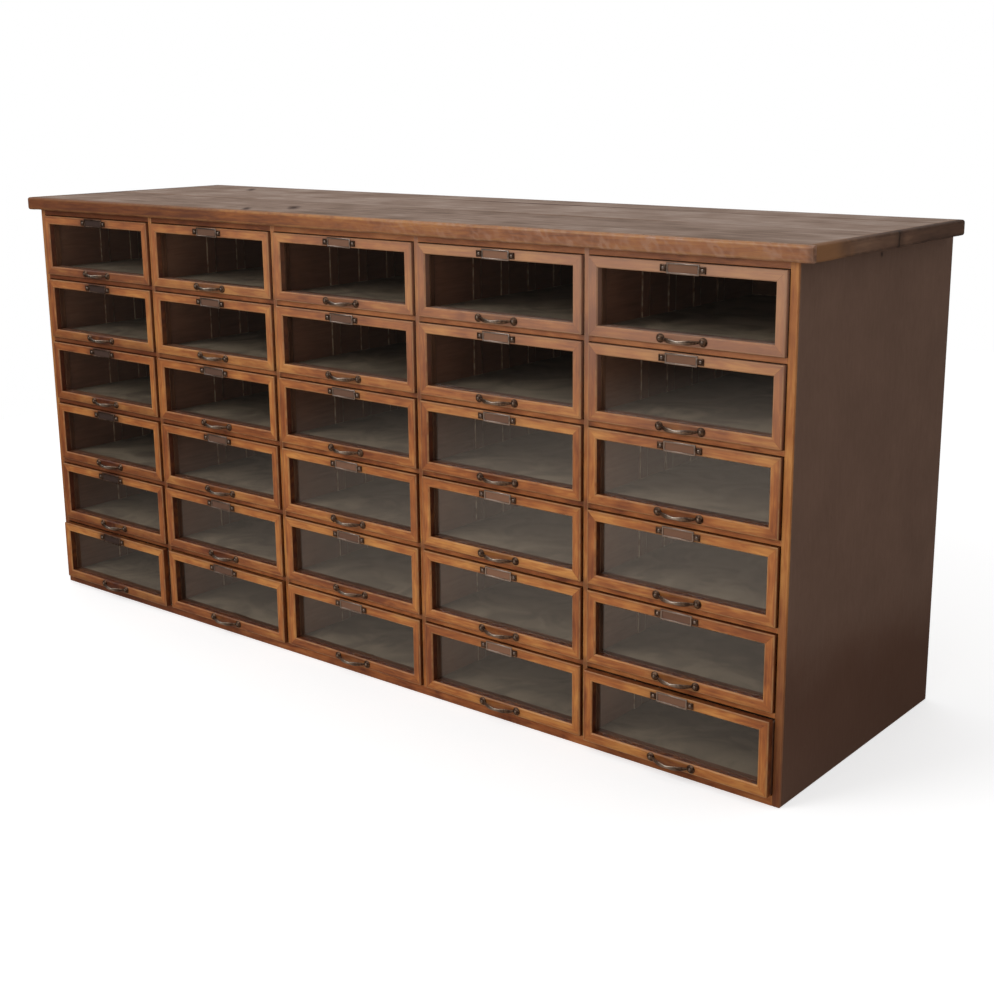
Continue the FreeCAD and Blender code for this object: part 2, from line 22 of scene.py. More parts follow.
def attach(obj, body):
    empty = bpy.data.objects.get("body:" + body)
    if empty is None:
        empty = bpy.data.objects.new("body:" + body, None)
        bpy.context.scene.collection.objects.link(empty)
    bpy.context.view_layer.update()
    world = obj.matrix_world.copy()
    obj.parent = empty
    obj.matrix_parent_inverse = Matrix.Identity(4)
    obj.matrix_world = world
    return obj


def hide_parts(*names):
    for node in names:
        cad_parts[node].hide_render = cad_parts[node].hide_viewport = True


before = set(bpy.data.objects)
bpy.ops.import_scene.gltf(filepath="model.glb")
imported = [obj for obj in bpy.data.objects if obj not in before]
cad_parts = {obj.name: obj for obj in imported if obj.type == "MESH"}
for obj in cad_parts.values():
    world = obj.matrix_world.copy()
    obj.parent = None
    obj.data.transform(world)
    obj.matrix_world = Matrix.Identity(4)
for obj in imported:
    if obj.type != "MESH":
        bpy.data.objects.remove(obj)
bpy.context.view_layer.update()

Array = np.ndarray
Numbers = Sequence[float]
Socket = bpy.types.NodeSocket
Material = bpy.types.Material
Adder = Callable[..., Socket]
Field = Callable[[Array], Array]

LOG = logging.getLogger("cabinet")
MM = 0.001
ROWS, COLUMNS = 6, 5


# ---- surfaces ---------------------------------------------------------------------------------------

@dataclass
class Surface:
    """A closed surface under construction.

    Attributes:
        points: Places of the points in millimetres, one row each.
        faces: Point numbers of each face.
        grain: Each point's place in its own board in metres: along, across and through the grain.
        facts: Each point's nearness to an arris, its handling grime, and its board's tone. The second fact
            also holds painted shade on the drawer fronts and the front edging, and a painted glint and
            highlight on the bronze.
    """

    points: Array
    faces: list[tuple[int, ...]]
    grain: Array
    facts: Array

    def shifted(self, x: float, y: float, z: float) -> "Surface":
        """The same surface, moved by the given distances."""
        return Surface(self.points + (x, y, z), self.faces, self.grain, self.facts)


def facts_of(rings: Array, near: float | Array = 0.0, grime: float | Array = 0.0, tone: float = 0.0) -> Array:
    """The three facts of each point of the rings in one array.

    Args:
        rings: Array of rings by points by 3.
        near: Nearness to an arris, one number or rings by points.
        grime: Handling grime, and on some parts painted shade, glint and highlight, in the same way.
        tone: Tone of the board.

    Returns:
        Array of rings by points by 3.
    """
    return np.stack([np.broadcast_to(fact, rings.shape[:2]) for fact in (near, grime, tone)], axis=-1)


def loft(rings: Array, grain: Array | None = None, facts: Array | None = None,
         closed: bool = False) -> Surface:
    """Skin a stack of rings.

    Point k of ring r joins point k + 1 of its ring and point k of ring r + 1. The first and the last ring
    are capped by one face each, or joined to each other. The faces are turned round if the volume that
    they enclose, a sixth of the sum of their corners' triple products, is negative.

    Args:
        rings: Array of rings by points by 3, in millimetres.
        grain: The same array in board coordinates, or None for the points themselves.
        facts: Array of rings by points by 3 with the facts of each point, or None for zeros.
        closed: True if the last ring joins the first.

    Returns:
        The surface, its faces pointing outwards.
    """
    count, around = rings.shape[:2]
    points = rings.reshape(-1, 3)
    first = np.arange(count if closed else count - 1)[:, None] * around
    here = np.arange(around)[None, :]
    beside = (here + 1) % around
    following = (first + around) % (count * around)
    quads = np.stack([first + here, first + beside, following + beside, following + here], axis=-1)
    quads = quads.reshape(-1, 4)
    a, b, c, d = (points[quads[:, corner]] for corner in range(4))
    volume = np.sum(a * np.cross(b, c)) + np.sum(a * np.cross(c, d))
    faces = [tuple(quad) for quad in quads.tolist()]
    for cap in () if closed else (range(around)[::-1], range((count - 1) * around, count * around)):
        fan = points[list(cap)]
        volume += np.sum(fan[0] * np.cross(fan[1:-1], fan[2:]))
        faces.append(tuple(cap))
    if volume < 0:
        faces = [face[::-1] for face in faces]
    grain = points * MM if grain is None else grain.reshape(-1, 3)
    return Surface(points, faces, grain, np.zeros_like(points) if facts is None else facts.reshape(-1, 3))


def rounded_outline(half: Numbers, radii: Numbers, hold: float, steps: int) -> tuple[Array, Array]:
    """Outline of a rectangle with rounded corners, anticlockwise.

    Each corner is a quarter circle, centre + radius (cos a, sin a), between two points held back on the
    flats, which keep the flats flat under smooth shading.

    Args:
        half: Half of the width and half of the height.
        radii: Radius of each corner, from the one at plus width, plus height.
        hold: Distance of the held points from the corner.
        steps: Straight pieces in each quarter circle.

    Returns:
        The points, and for each 1 on a corner's arc and 0 on the flats.
    """
    angles = np.linspace(0, math.pi / 2, steps + 1)
    arc = np.stack([np.cos(angles), np.sin(angles)], axis=1) - 1
    points = []
    for quarter, (radius, sign) in enumerate(zip(radii, ((1, 1), (-1, 1), (-1, -1), (1, -1)))):
        first, last = (max(min(hold, 0.8 * half[(quarter + turn) % 2]), 1.3 * radius) for turn in (1, 0))
        local = np.vstack([[(0, -first)], arc * radius, [(-last, 0)]])
        cos, sin = (1, 0, -1, 0)[quarter], (0, 1, 0, -1)[quarter]
        points.append(np.array(sign) * half + local @ np.array([(cos, sin), (-sin, cos)]))
    return np.vstack(points), np.tile([0.0] + [1.0] * (steps + 1) + [0.0], 4)


def board(low: Numbers, high: Numbers, axis: int = 0, arris: float = 0.6, hold: float = 3.0,
          radii: Numbers | None = None, end_radii: Numbers | None = None, pivot: Numbers = (0.0, 0.0),
          pitch: float = 0.0, steps: int = 2, seed: int = 0, tone: float | None = None,
          grime: Field | None = None, warp: Field | None = None) -> Surface:
    """Board with softened arrises: a rounded outline carried along the grain and drawn in at both ends.

    Args:
        low: Lowest corner.
        high: Highest corner.
        axis: 0, 1 or 2 for grain along X, Y or Z.
        arris: Radius of the arrises.
        hold: Distance inside an arris where its wear ends.
        radii: Radii of the four long arrises, in place of arris.
        end_radii: Radii of the arrises at the low and the high end, in place of arris.
        pivot: Point of the outline that stays as the ends draw in, in shares of the half sizes.
        pitch: Distance between rings along the grain, or 0 for none between the ends.
        steps: Straight pieces in each rounded corner.
        seed: Chooses the place of the figure and the tone.
        tone: Tone of the board from -1 to 1, or None for one by the seed.
        grime: Gives the handling grime at an array of points.
        warp: Gives the offset of an array of points, for boards that aren't quite straight.

    Returns:
        The board's surface.
    """
    low, high = np.asarray(low, float), np.asarray(high, float)
    size, middle = high - low, (low + high) / 2
    order = [axis, (axis + 1) % 3, (axis + 2) % 3]
    half = size[order[1:]] / 2
    tight, reach = float(half.min()), half * (1 + np.abs(pivot))
    radii = [min(radius, 0.9 * tight) for radius in (radii or [min(arris, 0.6 * tight)] * 4)]
    ends = [min(radius, 0.6 * float(reach.min())) for radius in (end_radii or (arris, arris))]
    outline, on_arc = rounded_outline(half, radii, hold, steps)

    turn = np.linspace(0, math.pi / 2, steps + 1)
    holds = [min(max(min(hold, 0.8 * tight), 1.3 * end), 0.4 * size[axis]) for end in ends]
    places = [np.concatenate([[0], end * (1 - np.cos(turn)), [held]]) for end, held in zip(ends, holds)]
    shrinks = [np.concatenate([[held], end * (1 - np.sin(turn)), [0]]) for end, held in zip(ends, holds)]
    near = np.concatenate([[0], np.ones(steps + 1), [0]])
    between = np.array([])
    if pitch > 0 and size[axis] > sum(holds) + pitch:
        count = int((size[axis] - sum(holds)) / pitch)
        between = np.linspace(holds[0], size[axis] - holds[1], count + 2)[1:-1]
    none = np.zeros(len(between))
    along = np.concatenate([places[0], between, size[axis] - places[1][::-1]])
    shrink = np.concatenate([shrinks[0], none, shrinks[1][::-1]])[:, None]
    at_end = np.concatenate([near, none, near[::-1]])[:, None]
    anchor = np.asarray(pivot) * half
    rings = np.empty((len(along), len(outline), 3))
    rings[..., axis] = low[axis] + along[:, None]
    rings[..., order[1:]] = middle[order[1:]] + (anchor + (outline - anchor) * (1 - shrink / reach)[:, None])

    chance = np.random.default_rng(seed)
    grain = rings[..., order] * MM + chance.uniform(-4, 4, 3)
    facts = facts_of(rings, np.maximum((shrink < min(holds) * 0.99) * on_arc, at_end),
                     0 if grime is None else grime(rings), chance.uniform(-1, 1) if tone is None else tone)
    return loft(rings if warp is None else rings + warp(rings), grain, facts)


def carried(path: Array, sides: Array, ups: Array, outline: Array, closed: bool = False,
            grime: float | Array = 0.0) -> Surface:
    """Outline carried along a path: ring = path + outline x * side + outline y * up.

    Args:
        path: Places of the rings, one row each.
        sides: Direction of the outline's x at each ring, of any length.
        ups: Direction of the outline's y at each ring, of any length.
        outline: The outline, one point a row, or one such array for each ring.
        closed: True if the path runs back to its start.
        grime: Second fact of each ring's points, as rings by points.

    Returns:
        The surface.
    """
    outline = np.broadcast_to(outline, (len(path), *outline.shape[-2:]))
    rings = path[:, None] + outline[..., :1] * sides[:, None] + outline[..., 1:] * ups[:, None]
    return loft(rings, None, facts_of(rings, grime=grime), closed)


def rings_round(radius: Array, height: Array, around: int) -> Array:
    """Round rings, point = (r cos a, r sin a, h).

    Args:
        radius: Radius r of each ring.
        height: Height h of each ring.
        around: Number of points in a ring.

    Returns:
        Array of rings by points by 3.
    """
    angles = np.linspace(0, 2 * math.pi, around, endpoint=False)
    return np.stack([radius[:, None] * np.cos(angles), radius[:, None] * np.sin(angles),
                     np.repeat(height[:, None], around, 1)], axis=-1)


def turned(profile: Sequence[tuple[float, float]], centre: Numbers, around: int = 20,
           rubbed: float = 0.0) -> Surface:
    """Turned shape on an axis along -Y: ring = centre + (r cos a, -height, r sin a), a round the axis.

    Args:
        profile: Pairs of radius and height, from the wood outwards.
        centre: Foot of the axis.
        around: Points in each ring.
        rubbed: Wear of the whole shape, as its second fact.

    Returns:
        The surface.
    """
    radius, height = np.array(profile).T
    rings = rings_round(radius, -height, around)[..., [0, 2, 1]] + centre
    return loft(rings, None, facts_of(rings, grime=rubbed))


def placed(name: str, data: bpy.types.ID) -> bpy.types.Object:
    """Object at the origin, linked into the scene.

    Args:
        name: Name of the object.
        data: Its mesh, camera or light.

    Returns:
        The object.
    """
    item = bpy.data.objects.new(name, data)
    bpy.context.scene.collection.objects.link(item)
    return item


def meshed(name: str, points: Array, faces: Sequence[Sequence[int]], material: Material) -> bpy.types.Object:
    """Mesh object at the origin, linked into the scene.

    Args:
        name: Name of the object and its mesh.
        points: Places of the points in metres.
        faces: Point numbers of each face.
        material: Its finish.

    Returns:
        The object.
    """
    mesh = bpy.data.meshes.new(name)
    mesh.from_pydata(points, [], faces)
    mesh.materials.append(material)
    return placed(name, mesh)


def build_piece(name: str, surfaces: Sequence[Surface], material: Material, body: str, node: str,
                sharp: float = 50.0) -> None:
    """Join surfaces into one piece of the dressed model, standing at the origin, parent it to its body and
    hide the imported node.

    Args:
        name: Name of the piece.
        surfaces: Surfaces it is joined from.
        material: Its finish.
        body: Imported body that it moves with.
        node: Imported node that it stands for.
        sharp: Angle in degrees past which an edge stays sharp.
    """
    starts = np.cumsum([0] + [len(surface.points) for surface in surfaces]).tolist()
    faces = [tuple(corner + start for corner in face)
             for surface, start in zip(surfaces, starts) for face in surface.faces]
    piece = meshed(name, np.vstack([surface.points for surface in surfaces]) * MM, faces, material)
    mesh = piece.data
    for fact in ("grain", "facts"):
        rows = np.vstack([getattr(surface, fact) for surface in surfaces])
        attribute = mesh.attributes.new(fact, "FLOAT_VECTOR", "POINT")
        attribute.data.foreach_set("vector", rows.astype(np.float32).ravel())
    mesh.polygons.foreach_set("use_smooth", np.ones(len(faces), bool))
    mesh.set_sharp_from_angle(angle=math.radians(sharp))
    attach(piece, body)
    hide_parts(node)
    LOG.info("%s: %d faces, rides on %s", name, len(faces), body)


# ---- finishes ---------------------------------------------------------------------------------------

# For kinds of node that aren't an operation on inputs 0, 1, 2 with one output: the property that the word
# after the kind sets, the output that is wanted, and the numbers of the first inputs.
KINDS = {
    "Attribute": ("attribute_name", "Vector", ()),
    "MapRange": ("interpolation_type", 0, range(5)),
    "Mix": ("data_type", 2, (0, 6, 7)),
    "TexCoord": ("", "Object", ()),
    "TexVoronoi": ("feature", 0, (0,)),
}


def colour(code: str) -> tuple[float, float, float, float]:
    """Linear colour of an sRGB hex code: c / 12.92 below 0.04045, and ((c + 0.055) / 1.055) ^ 2.4 above.

    Args:
        code: The code, as # and six digits.

    Returns:
        Red, green, blue and 1.
    """
    parts = np.array([int(code[index:index + 2], 16) for index in (1, 3, 5)]) / 255
    linear = np.where(parts <= 0.04045, parts / 12.92, ((parts + 0.055) / 1.055) ** 2.4)
    return (*linear.tolist(), 1.0)


def add_node(tree: bpy.types.NodeTree, kind: str, *values: object, out: int | str | None = None,
             stops: Sequence[tuple[float, str]] = (), **named: object) -> Socket | None:
    """Add a node with its settings and links.

    Args:
        tree: Tree that the node goes into.
        kind: Node type without its Shader prefix and Node, and after a blank its operation or other setting.
        *values: Values, hex codes or output sockets of the first inputs.
        out: Name or number of the wanted output, if it isn't the kind's usual one.
        stops: Places and hex codes of a colour ramp.
        **named: The same for inputs by name, with _ for a space.

    Returns:
        The wanted output, or None if the node has no outputs.
    """
    kind, _, word = kind.partition(" ")
    setting, usual, numbers = KINDS.get(kind, ("operation", 0, range(3)))
    node = tree.nodes.new(f"ShaderNode{kind}")
    if word:
        setattr(node, setting, word)
    for index, (place, code) in enumerate(stops):
        band = node.color_ramp.elements
        stop = band[index] if index < 2 else band.new(place)
        stop.position, stop.color = place, colour(code)
    for key, value in [*zip(numbers, values), *named.items()]:
        socket = node.inputs[key.replace("_", " ") if isinstance(key, str) else key]
        if isinstance(value, Socket):
            tree.links.new(value, socket)
        else:
            socket.default_value = colour(value) if isinstance(value, str) else value
    return node.outputs[usual if out is None else out] if node.outputs else None


def made_of_nodes(name: str, shader: Callable[[Adder], Socket]) -> Material:
    """Material with the nodes that a function adds.

    Args:
        name: Name of the material.
        shader: Adds the nodes by the function that it is given, and returns the shader's output.

    Returns:
        The material.
    """
    material = bpy.data.materials.new(name)
    material.use_nodes = True
    material.node_tree.nodes.clear()
    add = partial(add_node, material.node_tree)
    add("OutputMaterial", shader(add))
    return material


def drawn_noise(add: Adder, where: Socket, length_mm: float, width_mm: float, detail: float = 3.0,
                distortion: float = 0.0) -> Socket:
    """Noise from 0 to 1 drawn out along the first axis.

    Args:
        add: Adds a node.
        where: Place of each point in metres.
        length_mm: Length of its features.
        width_mm: Width of its features.
        detail: Number of finer octaves.
        distortion: How much it is stirred.

    Returns:
        The noise.
    """
    scale = (1000 / length_mm, 1000 / width_mm, 1000 / width_mm)
    drawn = add("Mapping", where, Scale=scale)
    return add("TexNoise", drawn, Scale=1.0, Detail=detail, Distortion=distortion)


class Grain(Enum):
    """Where a wood's figure takes its place from: the board's own attribute, or the object's axes."""

    BOARD = None
    ALONG_X = (0.0, 0.0, 0.0)
    ALONG_Y = (0.0, 0.0, -math.pi / 2)
    ALONG_Z = (0.0, math.pi / 2, 0.0)


@dataclass(frozen=True)
class Finish:
    """A material of one kind of surface.

    Attributes:
        name: Common name of the stuff and how its surface was made.
    """

    name: str

    def shader(self, add: Adder) -> Socket:
        """Nodes of the material, which each kind has of its own."""
        raise NotImplementedError

    def material(self) -> Material:
        """Make the material."""
        return made_of_nodes(self.name, self.shader)


@dataclass(frozen=True)
class Wood(Finish):
    """Sawn or planed wood under stain or old varnish: soft flecks, dark pores, and pale arrises, worn and
    with a painted highlight.

    Attributes:
        dark: Colour of the late wood.
        middle: Colour between.
        light: Colour of the early wood.
        worn: Colour of rubbed arrises, which is also their painted highlight.
        dirt: Colour of handled and dusty places, and of painted shade on the drawer fronts and the front
            edging.
        streak_mm: Width of a streak of the figure.
        length_mm: Length of a streak.
        pore_mm: Width of an open pore, drawn wider than the real 0.3 mm so that it shows.
        cloud_mm: Size of the uneven patches in stain and varnish.
        contrast: Strength of the figure.
        unevenness: Strength of the patches.
        pores: Strength of the pores.
        wear: Strength of the rubbed arrises and their painted highlight.
        roughness: Roughness of the surface.
        gloss: Share of the mirror reflection, 0.5 for a closed surface and less for open, dusty grain.
        varnish: Weight of the varnish coat.
        relief_mm: Depth of the grain.
        knots: X, y, z and radius of each knot or hole in millimetres.
    """

    dark: str
    middle: str
    light: str
    worn: str
    dirt: str
    streak_mm: float = 4.0
    length_mm: float = 160.0
    pore_mm: float = 0.9
    cloud_mm: float = 180.0
    contrast: float = 0.5
    unevenness: float = 0.5
    pores: float = 0.3
    wear: float = 0.5
    roughness: float = 0.45
    gloss: float = 0.4
    varnish: float = 0.1
    relief_mm: float = 0.12
    knots: tuple[tuple[float, float, float, float], ...] = ()

    def figure(self, add: Adder, where: Socket) -> Socket:
        """Figure of the wood: streaks, soft flecks, and growth rings that wander across the board.

        Args:
            add: Adds a node.
            where: Place in the board.

        Returns:
            The figure, 0.3 streaks + 0.7 flecks + 0.05 sin(40 broad), from 0 for late to 1 for early wood.
        """
        streaks = drawn_noise(add, where, self.length_mm, self.streak_mm, 4.0, 0.4)
        flecks = drawn_noise(add, where, self.length_mm * 0.45, self.streak_mm * 2.2, 2.0, 1.0)
        broad = drawn_noise(add, where, self.length_mm * 3.2, self.streak_mm * 5, 3.0, 0.6)
        mixed = add("Math MULTIPLY_ADD", streaks, 0.3, add("Math MULTIPLY", flecks, 0.7))
        return add("Math MULTIPLY_ADD", add("Math SINE", add("Math MULTIPLY", broad, 40.0)), 0.05, mixed)

    def colours(self, add: Adder, where: Socket, facts: Sequence[Socket]) -> tuple[Socket, Socket]:
        """Colour of the wood, and its relief.

        Args:
            add: Adds a node.
            where: Place in the board.
            facts: Nearness to an arris, grime with some painted shade, and tone.

        Returns:
            The colour and the height of the grain.
        """
        near, grime, tone = facts
        spot = add("TexCoord")
        figure = self.figure(add, where)
        cloud = drawn_noise(add, spot, self.cloud_mm, self.cloud_mm)
        shade = add("Math MULTIPLY_ADD", add("Math SUBTRACT", figure, 0.5), self.contrast * 2.2, 0.5)
        shade = add("Math MULTIPLY_ADD", add("Math SUBTRACT", cloud, 0.5), self.unevenness * 2.4, shade)
        shade = add("Math MULTIPLY_ADD", tone, 0.16, shade)
        base = add("ValToRGB", shade, stops=((0.12, self.dark), (0.85, self.light), (0.48, self.middle)))
        pore = add("MapRange", drawn_noise(add, where, 22.0, self.pore_mm, 2.0), 0.55, 0.72, 0.0, self.pores)
        base = add("Mix RGBA", pore, base, self.dark)

        patchy = drawn_noise(add, spot, 14.0, 14.0)
        # Pale arrises: wear, and a painted highlight where an arris catches the light.
        rubbed = add("MapRange", patchy, 0.36, 0.6, 0.15, self.wear)
        rubbed = add("Math MULTIPLY", add("Math POWER", near, 2.0), rubbed)
        base = add("Mix RGBA", rubbed, base, self.worn)
        # Grime, and on the drawer fronts and the front edging painted shade, drawn in the dirt colour.
        grime_and_painted_shade = add("Math MULTIPLY", grime, add("MapRange", patchy, 0.3, 0.6, 0.7))
        base = add("Mix RGBA", grime_and_painted_shade, base, self.dirt)
        return base, add("Math SUBTRACT", add("Math MULTIPLY", figure, 0.5), pore)

    def aged(self, add: Adder, base: Socket) -> Socket:
        """Colour after what age did to this finish alone. A plain wood keeps its colour."""
        return base

    def knotted(self, add: Adder, base: Socket) -> Socket:
        """Darken inside each knot by the distance from it, drawn out aslant and ragged at its rim.

        Args:
            add: Adds a node.
            base: Colour of the wood.

        Returns:
            The colour with its knots.
        """
        spot = add("TexCoord")
        rough = drawn_noise(add, spot, 10.0, 10.0, 2.0)
        for *place, radius in self.knots:
            away = add("VectorMath SUBTRACT", spot, [value * MM for value in place])
            away = add("VectorMath MULTIPLY", add("VectorRotate", away, Angle=-0.75), (1.6, 0.4, 1.0))
            length = add("VectorMath LENGTH", away, out="Value")
            length = add("Math MULTIPLY_ADD", rough, radius * MM, length)
            inside = add("MapRange", length, radius * MM * 1.8, radius * MM * 0.8, 0.0, 0.9)
            base = add("Mix RGBA", inside, base, self.dirt)
        return base

    def shader(self, add: Adder, grain: Grain = Grain.BOARD) -> Socket:
        """Nodes of the wood.

        Args:
            add: Adds a node.
            grain: Where the figure takes its place from.

        Returns:
            The shader, smoother where the grain stands high.
        """
        where = (add("Attribute grain") if grain is Grain.BOARD
                 else add("Mapping", add("TexCoord"), Rotation=grain.value))
        base, height = self.colours(add, where, add("SeparateXYZ", add("Attribute facts")).node.outputs)
        return add("BsdfPrincipled", Base_Color=self.knotted(add, self.aged(add, base)), IOR=1.5,
                   Roughness=add("Math MULTIPLY_ADD", height, -0.12, self.roughness + 0.03),
                   Normal=add("Bump", Strength=0.6, Distance=self.relief_mm * MM, Height=height),
                   Specular_IOR_Level=self.gloss, Coat_Weight=self.varnish, Coat_Roughness=0.3)

    def material(self, grain: Grain = Grain.BOARD) -> Material:
        """Make the material, named for its grain too.

        Args:
            grain: Where the figure takes its place from.

        Returns:
            The material.
        """
        name = f"{self.name} {grain.name.lower().replace('_', ' ')}"
        return made_of_nodes(name, partial(self.shader, grain=grain))


@dataclass(frozen=True)
class FadedWood(Wood):
    """Varnished oak with a painted sheen that pales it towards the top right, and redder low down and at the
    left.

    Attributes:
        painted_sheen_and_dent_rims: Colour of the painted sheen on the varnish, which also colours the rims
            of dents.
        painted_sheen_share: How much of the painted sheen shows at the top right.
        low: Redder colour, blended in near the floor and at the left.
        low_share: How much of it shows near the floor.
        left_share: How much of it shows at the left end.
    """

    painted_sheen_and_dent_rims: str = "#a8806a"
    painted_sheen_share: float = 0.45
    low: str = "#5c2a14"
    low_share: float = 0.0
    left_share: float = 0.0

    def aged(self, add: Adder, base: Socket) -> Socket:
        """Blend the painted sheen in upwards and towards the right, and the redder colour in towards the
        floor and the left.

        Args:
            add: Adds a node.
            base: Colour of the wood.

        Returns:
            The aged colour.
        """
        x, _, z = add("SeparateXYZ", add("TexCoord")).node.outputs
        # Painted sheen of the varnish, paler upwards and towards the right.
        high = add("MapRange SMOOTHSTEP", z, 0.45, 0.9)
        right = add("MapRange SMOOTHSTEP", x, -0.6, 0.8, 0.1, self.painted_sheen_share)
        base = add("Mix RGBA", add("Math MULTIPLY", high, right), base, self.painted_sheen_and_dent_rims)
        near = add("MapRange SMOOTHSTEP", z, 0.5, 0.05, 0.0, self.low_share)
        left = add("MapRange SMOOTHSTEP", x, 0.0, -0.8, 0.0, self.left_share)
        return add("Mix RGBA", add("Math MAXIMUM", near, left), base, self.low)


@dataclass(frozen=True)
class DentedOak(FadedWood):
    """Varnished oak strip, dented all over its right half by knocks, with the rims of the dents rubbed pale.

    Attributes:
        dent_mm: Width of a dent, which is twice as long and slants.
    """

    dent_mm: float = 6.5

    def colours(self, add: Adder, where: Socket, facts: Sequence[Socket]) -> tuple[Socket, Socket]:
        """Colour and relief of the wood with its dents.

        Args:
            add: Adds a node.
            where: Place in the board.
            facts: Nearness to an arris, grime with some painted shade, and tone.

        Returns:
            The colour and the height.
        """
        base, height = super().colours(add, where, facts)
        spot = add("TexCoord")
        slanting = add("VectorRotate", spot, Axis=(0.0, 1.0, 0.0), Angle=0.8)
        scale = (1000 / self.dent_mm, 500 / self.dent_mm, 500 / self.dent_mm)
        cells = add("TexVoronoi SMOOTH_F1", add("Mapping", slanting, Scale=scale), Scale=1.0)
        right = add("MapRange SMOOTHSTEP", add("SeparateXYZ", spot), -0.15, 0.4)
        some = add("MapRange", drawn_noise(add, spot, 35.0, 35.0), 0.35, 0.6)
        where_knocked = add("Math MULTIPLY", right, some)
        rim = add("Math MULTIPLY", add("MapRange SMOOTHSTEP", cells, 0.25, 0.8), where_knocked)
        # The rims of the dents take the colour of the painted sheen.
        return (add("Mix RGBA", add("Math MULTIPLY", rim, 0.85), base, self.painted_sheen_and_dent_rims),
                add("Math MULTIPLY_ADD", rim, 2.4, height))


@dataclass(frozen=True)
class StainedSide(Wood):
    """Oak side under a thin dark stain, which stops low down at a wandering line over a redder coat.

    Attributes:
        low: Colour of the redder coat.
    """

    low: str = "#4f3020"

    def aged(self, add: Adder, base: Socket) -> Socket:
        """Blend the redder coat in below a line that falls towards the front.

        Args:
            add: Adds a node.
            base: Colour of the wood.

        Returns:
            The aged colour.
        """
        spot = add("TexCoord")
        _, y, z = add("SeparateXYZ", spot).node.outputs
        line = add("Math MULTIPLY_ADD", drawn_noise(add, spot, 120.0, 120.0), 0.16, 0.13)
        line = add("Math MULTIPLY_ADD", y, -0.12, line)
        below = add("MapRange SMOOTHSTEP", add("Math SUBTRACT", line, z), -0.08, 0.08, 0.0, 0.7)
        return add("Mix RGBA", below, base, self.low)


@dataclass(frozen=True)
class HandledEdging(Wood):
    """Dark stained edging, rubbed back to golden wood near the front corner, where people stand.

    Attributes:
        bare: Colour of the rubbed wood.
        reach_mm: Y where the rubbed part starts to fade, and where it ends.
    """

    bare: str = "#8e6038"
    reach_mm: tuple[float, float] = (-250.0, -140.0)

    def aged(self, add: Adder, base: Socket) -> Socket:
        """Blend the bare wood in towards the front, in patches.

        Args:
            add: Adds a node.
            base: Colour of the wood.

        Returns:
            The aged colour.
        """
        spot = add("TexCoord")
        wander = drawn_noise(add, spot, 40.0, 40.0)
        y = add("SeparateXYZ", spot, out="Y")
        place = add("Math MULTIPLY_ADD", wander, 0.12, add("Math SUBTRACT", y, 0.06))
        full, end = (reach * MM for reach in self.reach_mm)
        return add("Mix RGBA", add("MapRange SMOOTHSTEP", place, end, full, 0.0, 0.75), base, self.bare)


@dataclass(frozen=True)
class WeatheredPlank(Wood):
    """Plank worn bare and grey by use, with fine checks along the grain.

    Attributes:
        check: Colour of the checks.
    """

    check: str = "#3a2b22"

    def aged(self, add: Adder, base: Socket) -> Socket:
        """Darken along the checks."""
        checks = drawn_noise(add, add("Attribute grain"), 260.0, 3.5, 2.0)
        return add("Mix RGBA", add("MapRange", checks, 0.6, 0.72, 0.0, 0.5), base, self.check)


@dataclass(frozen=True)
class PaneGlass(Finish):
    """Drawn sheet glass, 3 mm: clear and smooth, gone faintly warm with age and dust.

    Lamps and soft light pass straight through, so that what is behind it is lit.

    Attributes:
        tint: Colour that it gives what is seen through it.
    """

    tint: str = "#faf8f3"

    def shader(self, add: Adder) -> Socket:
        """Nodes of the glass, which is clear to shadow and diffuse rays.

        Args:
            add: Adds a node.

        Returns:
            The shader.
        """
        glass = add("BsdfPrincipled", Base_Color=self.tint, Roughness=0.0, IOR=1.5, Transmission_Weight=1.0)
        path = add("LightPath").node.outputs
        through = add("Math MAXIMUM", path["Is Shadow Ray"], path["Is Diffuse Ray"])
        return add("MixShader", through, glass, add("BsdfTransparent", self.tint))


@dataclass(frozen=True)
class AgedBronze(Finish):
    """Cast or pressed bronze with a brown-black patina, rubbed bright where fingers close on it, with a
    painted glint and highlight in the same bright colour.

    Attributes:
        patina: Colour of the thick patina.
        metal: Colour of the thin patina.
        rubbed: Colour of the bright metal, which is also the painted glint and highlight.
    """

    patina: str
    metal: str
    rubbed: str

    def shader(self, add: Adder) -> Socket:
        """Nodes of the bronze: patchy patina, and bright smooth metal by the second fact, which is wear with
        a painted glint and highlight.

        Args:
            add: Adds a node.

        Returns:
            The shader.
        """
        patches = add("TexNoise", add("TexCoord"), Scale=260.0, Detail=4.0)
        base = add("Mix RGBA", add("MapRange", patches, 0.42, 0.66), self.patina, self.metal)
        # The second fact: rubbed metal, with a painted glint on the pulls and a painted highlight on the
        # holders' rims.
        handled = add("SeparateXYZ", add("Attribute facts"), out="Y")
        return add("BsdfPrincipled", Base_Color=add("Mix RGBA", handled, base, self.rubbed), Metallic=1.0,
                   Roughness=add("Math MULTIPLY_ADD", handled, -0.22, 0.45),
                   Normal=add("Bump", Strength=0.4, Distance=0.00008, Height=patches))


